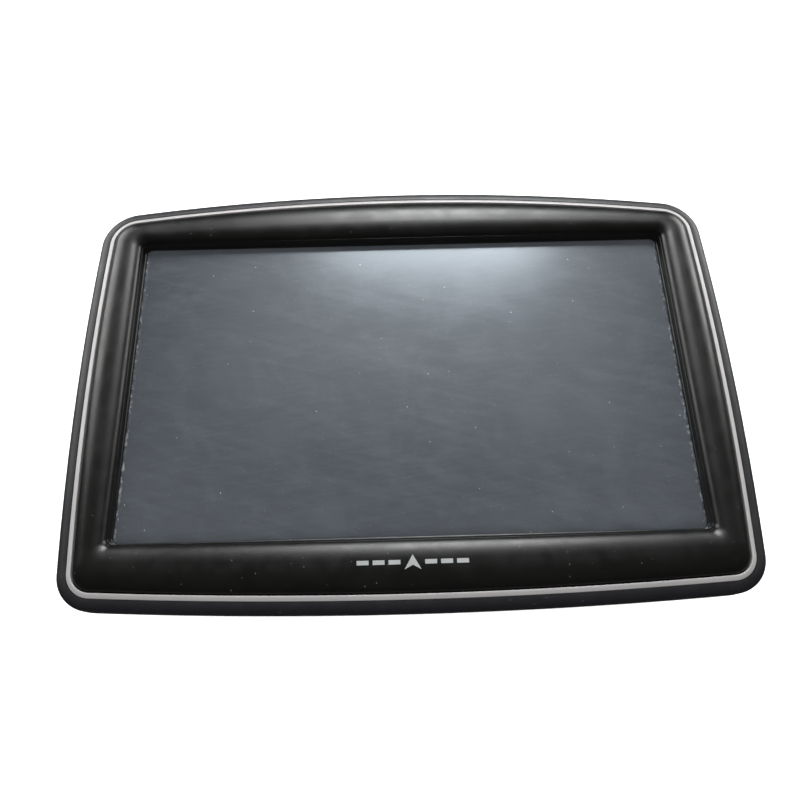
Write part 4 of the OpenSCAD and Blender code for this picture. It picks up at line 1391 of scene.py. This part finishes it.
    def make(self) -> None:
        """Makes the housing and dresses the screws and the label."""
        shell, button = self.shell(), ButtonSizes.from_frame()
        self.add_walls(shell, button)
        self.cut_openings(shell, button)
        bm = bmesh.new()
        bm.from_mesh(shell.data)
        bmesh.ops.remove_doubles(bm, verts=bm.verts, dist=0.001 * MM)
        bpy.data.objects.remove(shell)
        self.put(finish_mesh("rear_shell", bm, sharp_deg=28), "housing_plastic", CASE, "rear_housing")
        self.dress({"case_screws": "screw_black"}, bevel=0.1 * MM)
        self.dress({"rear_label": "label_grey"}, bevel=0.05 * MM)


@dataclass(frozen=True)
class ButtonSizes:
    """Where the power button is and how big it is, with the room it needs in the wall."""

    middle: Point
    face_y: float
    back_y: float
    stem_y: float
    flange_w: float
    flange_h: float
    flange_t: float = 0.8 * MM
    step_w: float = 2.2 * MM
    step_h: float = 0.8 * MM
    gap: float = 0.3 * MM
    wall_w: float = 5 * MM
    wall_h: float = 2.8 * MM

    @classmethod
    def from_frame(cls) -> "ButtonSizes":
        """Reads the sizes from the frame.

        Returns:
            The sizes.
        """
        low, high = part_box("power_button")
        plunger_rise, stem_run = 0.7 * MM, 1.0 * MM
        back_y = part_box("power_switch")[1].y + plunger_rise + stem_run
        return cls(middle_of(low, high), high.y, back_y, low.y, high.x - low.x, high.z - low.z)

    @property
    def front_y(self) -> float:
        """The front of the flange."""
        return self.back_y + self.flange_t

    @property
    def seat_y(self) -> float:
        """Where the wall stops the flange."""
        return self.front_y + self.gap / 2

    @property
    def width(self) -> float:
        """The width of the part that stands out of the wall."""
        return self.flange_w - self.step_w

    @property
    def thick(self) -> float:
        """The thickness of the part that stands out of the wall."""
        return self.flange_h - self.step_h


@dataclass
class PowerButton(SubAssembly):
    """The oval power button with a dished face, and the switch behind it."""

    dish: float = 0.22 * MM
    dish_steps: tuple[float, ...] = (0.9, 0.75, 0.55, 0.3)
    edge_r: float = 0.5 * MM
    edge_steps: int = 6
    stem: Point = (3 * MM, 1.6 * MM)

    def make(self) -> None:
        """Makes the button and dresses the switch."""
        b, r = ButtonSizes.from_frame(), self.edge_r
        rolls = [QUARTER * i / self.edge_steps for i in range(self.edge_steps + 1)]
        sections = [(*self.stem, b.stem_y), (*self.stem, b.back_y), (b.flange_w, b.flange_h, b.back_y),
                    (b.flange_w, b.flange_h, b.front_y), (b.width, b.thick, b.front_y)]
        sections += [(b.width - 2 * r * (1 - math.cos(a)), b.thick - 2 * r * (1 - math.cos(a)),
                      b.face_y - r * (1 - math.sin(a))) for a in rolls]
        face_w, face_t, _ = sections[-1]
        sections += [(face_w * k, face_t * k, b.face_y - self.dish * (1 - k * k)) for k in self.dish_steps]
        rings = [standing(oval(width, thick), *b.middle, y) for width, thick, y in sections]
        self.put(loft("power_cap", rings, sharp_deg=40), "button_plastic", KEY, "power_button")
        self.dress({"power_plunger": "nylon_cream", "power_switch": "switch_body"}, bevel=0.05 * MM)


@dataclass
class CableSocket(SubAssembly):
    """The cable socket: a folded shell with a stepped outline, its insulator and five contacts."""

    wall: float = 0.3 * MM
    step_in: float = 0.75 * MM
    step_up: float = 1.5 * MM
    step_ramp: float = 0.7 * MM
    fold_r: float = 0.35 * MM
    fold_steps: int = 3
    flare: float = 0.12 * MM
    flare_run: float = 0.3 * MM
    back_t: float = 1.75 * MM
    tongue_side: float = 1.3 * MM
    tongue_t: float = 1.0 * MM
    tongue_from: float = 1.3 * MM
    tip_run: float = 0.4 * MM
    contacts: int = 5
    pitch: float = 0.8 * MM
    strip_w: float = 0.4 * MM
    strip_t: float = 0.16 * MM

    def section(self, inset: float) -> list[Point]:
        """Draws the shell's section, wide at the top and stepped in below.

        Args:
            inset: How far the section is drawn in.

        Returns:
            Its points.
        """
        low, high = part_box("usb_shell")
        x, z = (high.x - low.x) / 2 - inset, (high.z - low.z) / 2 - inset
        step_x, step_z = x - self.step_in, -z + self.step_up
        half = [Vector(p) for p in ((x, z), (x, step_z + self.step_ramp), (step_x, step_z), (step_x, -z))]
        corners = [half[0]] + [Vector((-p.x, p.y)) for p in half] + half[:0:-1]
        points = []
        for i, here in enumerate(corners):
            before, after = corners[i - 1], corners[(i + 1) % len(corners)]
            start = here + (before - here).normalized() * self.fold_r
            end = here + (after - here).normalized() * self.fold_r
            for k in range(self.fold_steps + 1):
                share = k / self.fold_steps
                spot = start.lerp(here, share).lerp(here.lerp(end, share), share)
                points.append((spot.x, spot.y))
        return points

    def shell(self) -> bpy.types.Object:
        """Makes the folded shell.

        Returns:
            The shell, flared at its mouth.
        """
        low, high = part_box("usb_shell")
        flare_y = low.y + self.flare_run
        stations = [(0.0, high.y), (0.0, flare_y), (0.0, low.y), (self.wall - self.flare, low.y),
                    (self.wall, flare_y), (self.wall, high.y)]
        rings = [standing(self.section(inset), *middle_of(low, high), y) for inset, y in stations]
        return loft("socket_shell", rings, closed=True)

    def make(self) -> None:
        """Makes the shell, the insulator and the contacts."""
        low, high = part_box("usb_shell")
        x, z = middle_of(low, high)
        self.put(self.shell(), "socket_steel", CASE, "usb_shell")
        step = 0.05 * MM
        back_y, tip_y = high.y - step - self.back_t, low.y + self.tongue_from
        tongue_w = high.x - low.x - 2 * (self.wall + self.tongue_side)
        back = self.section(self.wall + 0.02 * MM)
        tongue = rounded(tongue_w, self.tongue_t, 0.25 * MM)
        tip = rounded(tongue_w - self.tip_run, self.tongue_t - self.tip_run, 0.2 * MM)
        bm = bmesh.new()
        skin(bm, [standing(back, x, z, high.y - step), standing(back, x, z, back_y)])
        skin(bm, [standing(tongue, x, z, back_y + 2 * step), standing(tongue, x, z, tip_y),
                  standing(tip, x, z, tip_y - self.tip_run)])
        self.put(finish_mesh("socket_insulator", bm), "socket_black", CASE, "usb_tongue")
        strip = rounded(self.strip_w, self.strip_t, step, 3)
        bm = bmesh.new()
        for k in range(self.contacts):
            at_x, at_z = x + (k - (self.contacts - 1) / 2) * self.pitch, z + self.tongue_t / 2
            skin(bm, [standing(strip, at_x, at_z, back_y - 2 * step),
                      standing(strip, at_x, at_z, tip_y + 4 * step)])
        self.put(finish_mesh("socket_contacts", bm), "contact_gold", CASE)


@dataclass
class Screen(SubAssembly):
    """The touch film and glass over the display, and what holds and lights them."""

    bezel: Bezel

    def make(self) -> None:
        """Dresses the screen's layers."""
        self.paints.add(ScreenFilm(
            "touch_film", (0.035, 0.0385, 0.0435), 0.22, Texture.SATIN, 0.3 * MM, 0.0004 * MM,
            specular=0.52, specular_tint=(0.84, 0.93, 1.0), variation=0.13, gloss_change=0.035,
            half_w=self.bezel.window_w / 2))
        self.dress({"touch_film": "touch_film", "touch_glass": "touch_glass",
                    "touch_tape": "tape_black", "touch_tail": "flex_amber",
                    "lcd_frame": "stamped_steel", "lcd_glass": "display_glass",
                    "backlight": "diffuser_white", "lcd_tail": "flex_amber"})


@dataclass
class Electronics(SubAssembly):
    """The middle frame, the board with what is on it, and the battery."""

    def make(self) -> None:
        """Dresses the frame, the board's parts and the battery."""
        self.dress({"mid_frame": "frame_alloy", "main_board": "board_green",
                    "battery_leads": "lead_wire", "battery_tape": "tape_cream",
                    "antenna_electrode": "electrode_silver", "speaker_contacts": "contact_gold"})
        self.dress({"frame_screws": "screw_steel", "board_screws": "screw_steel",
                    "processor": "chip_black", "memory_chips": "chip_black",
                    "receiver_shield": "stamped_steel", "power_chip": "chip_black",
                    "board_parts": "part_brown", "tail_connectors": "nylon_cream",
                    "gps_antenna": "antenna_ceramic", "battery_plug": "nylon_cream"}, bevel=0.06 * MM)
        self.dress({"battery_cell": "cell_foil"}, bevel=0.5 * MM)


@dataclass
class Speaker(SubAssembly):
    """The speaker behind the grille."""

    def make(self) -> None:
        """Dresses the speaker's parts."""
        self.dress({"speaker_basket": "basket_black", "speaker_magnet": "magnet_steel",
                    "speaker_surround": "surround_rubber", "speaker_cone": "cone_paper",
                    "voice_coil": "coil_copper", "speaker_gasket": "foam_black",
                    "speaker_cloth": "cloth_black"})


# ---------------------------------------------------------------------------------------------------------
# Stage


@dataclass(frozen=True)
class SoftBox:
    """A flat light that faces the navigator.

    Its angles are in degrees. Azimuth 0 is behind the top edge, and it grows to the right.
    """

    name: str
    azimuth: float
    elevation: float
    width: float
    height: float
    radiance: float
    distance: float = 1.0
    colour: Colour = (1.0, 1.0, 1.0)
    mirrored: bool = True

    def make(self) -> None:
        """Hangs the light."""
        light = bpy.data.lights.new(self.name, "AREA")
        light.shape = "RECTANGLE"
        light.size, light.size_y = self.width, self.height
        light.energy = self.radiance * math.pi * self.width * self.height
        light.color = self.colour
        lamp = bpy.data.objects.new(self.name, light)
        az, el = math.radians(self.azimuth), math.radians(self.elevation)
        way = Vector((math.sin(az) * math.cos(el), math.cos(az) * math.cos(el), math.sin(el)))
        lamp.location = way * self.distance
        lamp.rotation_euler = way.to_track_quat("Z", "Y").to_euler()
        lamp.visible_glossy = self.mirrored
        bpy.context.scene.collection.objects.link(lamp)


@dataclass
class Stage:
    """The pale floor, the soft lights and the camera."""

    paints: Paintbox
    floor_size: float = 3.0
    eye: tuple[float, float, float] = (-2.85 * MM, -58.79 * MM, 136.75 * MM)
    tilt_deg: tuple[float, float, float] = (21.82, 0.03, -1.55)
    lens: float = 32.44
    sky: Colour = (0.035, 0.036, 0.038)
    boxes: tuple[SoftBox, ...] = (
        SoftBox("back_box", 6, 43.5, 0.34, 0.44, 26.0, colour=(0.97, 0.985, 1.0)),
        SoftBox("back_glow", 6, 52, 0.74, 0.75, 1.4, 1.1, colour=(0.92, 0.965, 1.0)),
        SoftBox("left_box", -53, 21, 0.60, 0.62, 7.6),
        SoftBox("right_box", 53, 16, 0.48, 0.46, 10.0),
        SoftBox("front_fill", 180, 60, 1.2, 1.0, 5.5, mirrored=False),
    )

    def lay_floor(self) -> None:
        """Lays the floor, as four squares round the origin."""
        half = self.floor_size / 2
        bm = bmesh.new()
        rows = [[bm.verts.new((x * half, y * half, 0)) for x in (-1, 0, 1)] for y in (-1, 0, 1)]
        for a, b in zip(rows, rows[1:]):
            for i in range(2):
                bm.faces.new((a[i], a[i + 1], b[i + 1], b[i]))
        floor = finish_mesh("floor", bm)
        floor.data.materials.append(self.paints.get("floor_card"))
        floor.visible_glossy = False
        LOG.info("floor: %.1f m square", self.floor_size)

    def light(self) -> None:
        """Hangs the lights and sets the faint light from all round."""
        for box in self.boxes:
            box.make()
        world = bpy.data.worlds.new("studio")
        world.use_nodes = True
        world.node_tree.nodes["Background"].inputs["Color"].default_value = (*self.sky, 1.0)
        bpy.context.scene.world = world
        bpy.context.scene.view_settings.view_transform = "Standard"

    def make(self, film_z: float) -> None:
        """Sets the stage.

        Args:
            film_z: The height of the touch film, over which the camera's height is given.
        """
        self.lay_floor()
        self.light()
        camera = bpy.data.cameras.new("camera")
        camera.lens = self.lens
        camera.clip_start = 0.01
        view = bpy.data.objects.new("camera", camera)
        view.location = (self.eye[0], self.eye[1], film_z + self.eye[2])
        view.rotation_euler = Euler([math.radians(a) for a in self.tilt_deg])
        bpy.context.scene.collection.objects.link(view)
        bpy.context.scene.camera = view


def main() -> None:
    """Builds the navigator round its frame and sets the stage."""
    logging.basicConfig(level=logging.INFO, format="%(name)s: %(message)s")
    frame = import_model()
    paints = Paintbox()
    low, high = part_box("rear_housing")
    outline = Outline(high.x - low.x, high.y - low.y)
    levels = Levels.from_frame()
    Stage(paints).make(levels.film)
    bezel = Bezel(paints, frame, outline, levels)
    bezel.make()
    RearHousing(paints, frame, outline, levels).make()
    PowerButton(paints, frame).make()
    CableSocket(paints, frame).make()
    Screen(paints, frame, bezel).make()
    Electronics(paints, frame).make()
    Speaker(paints, frame).make()


if __name__ == "__main__":
    main()
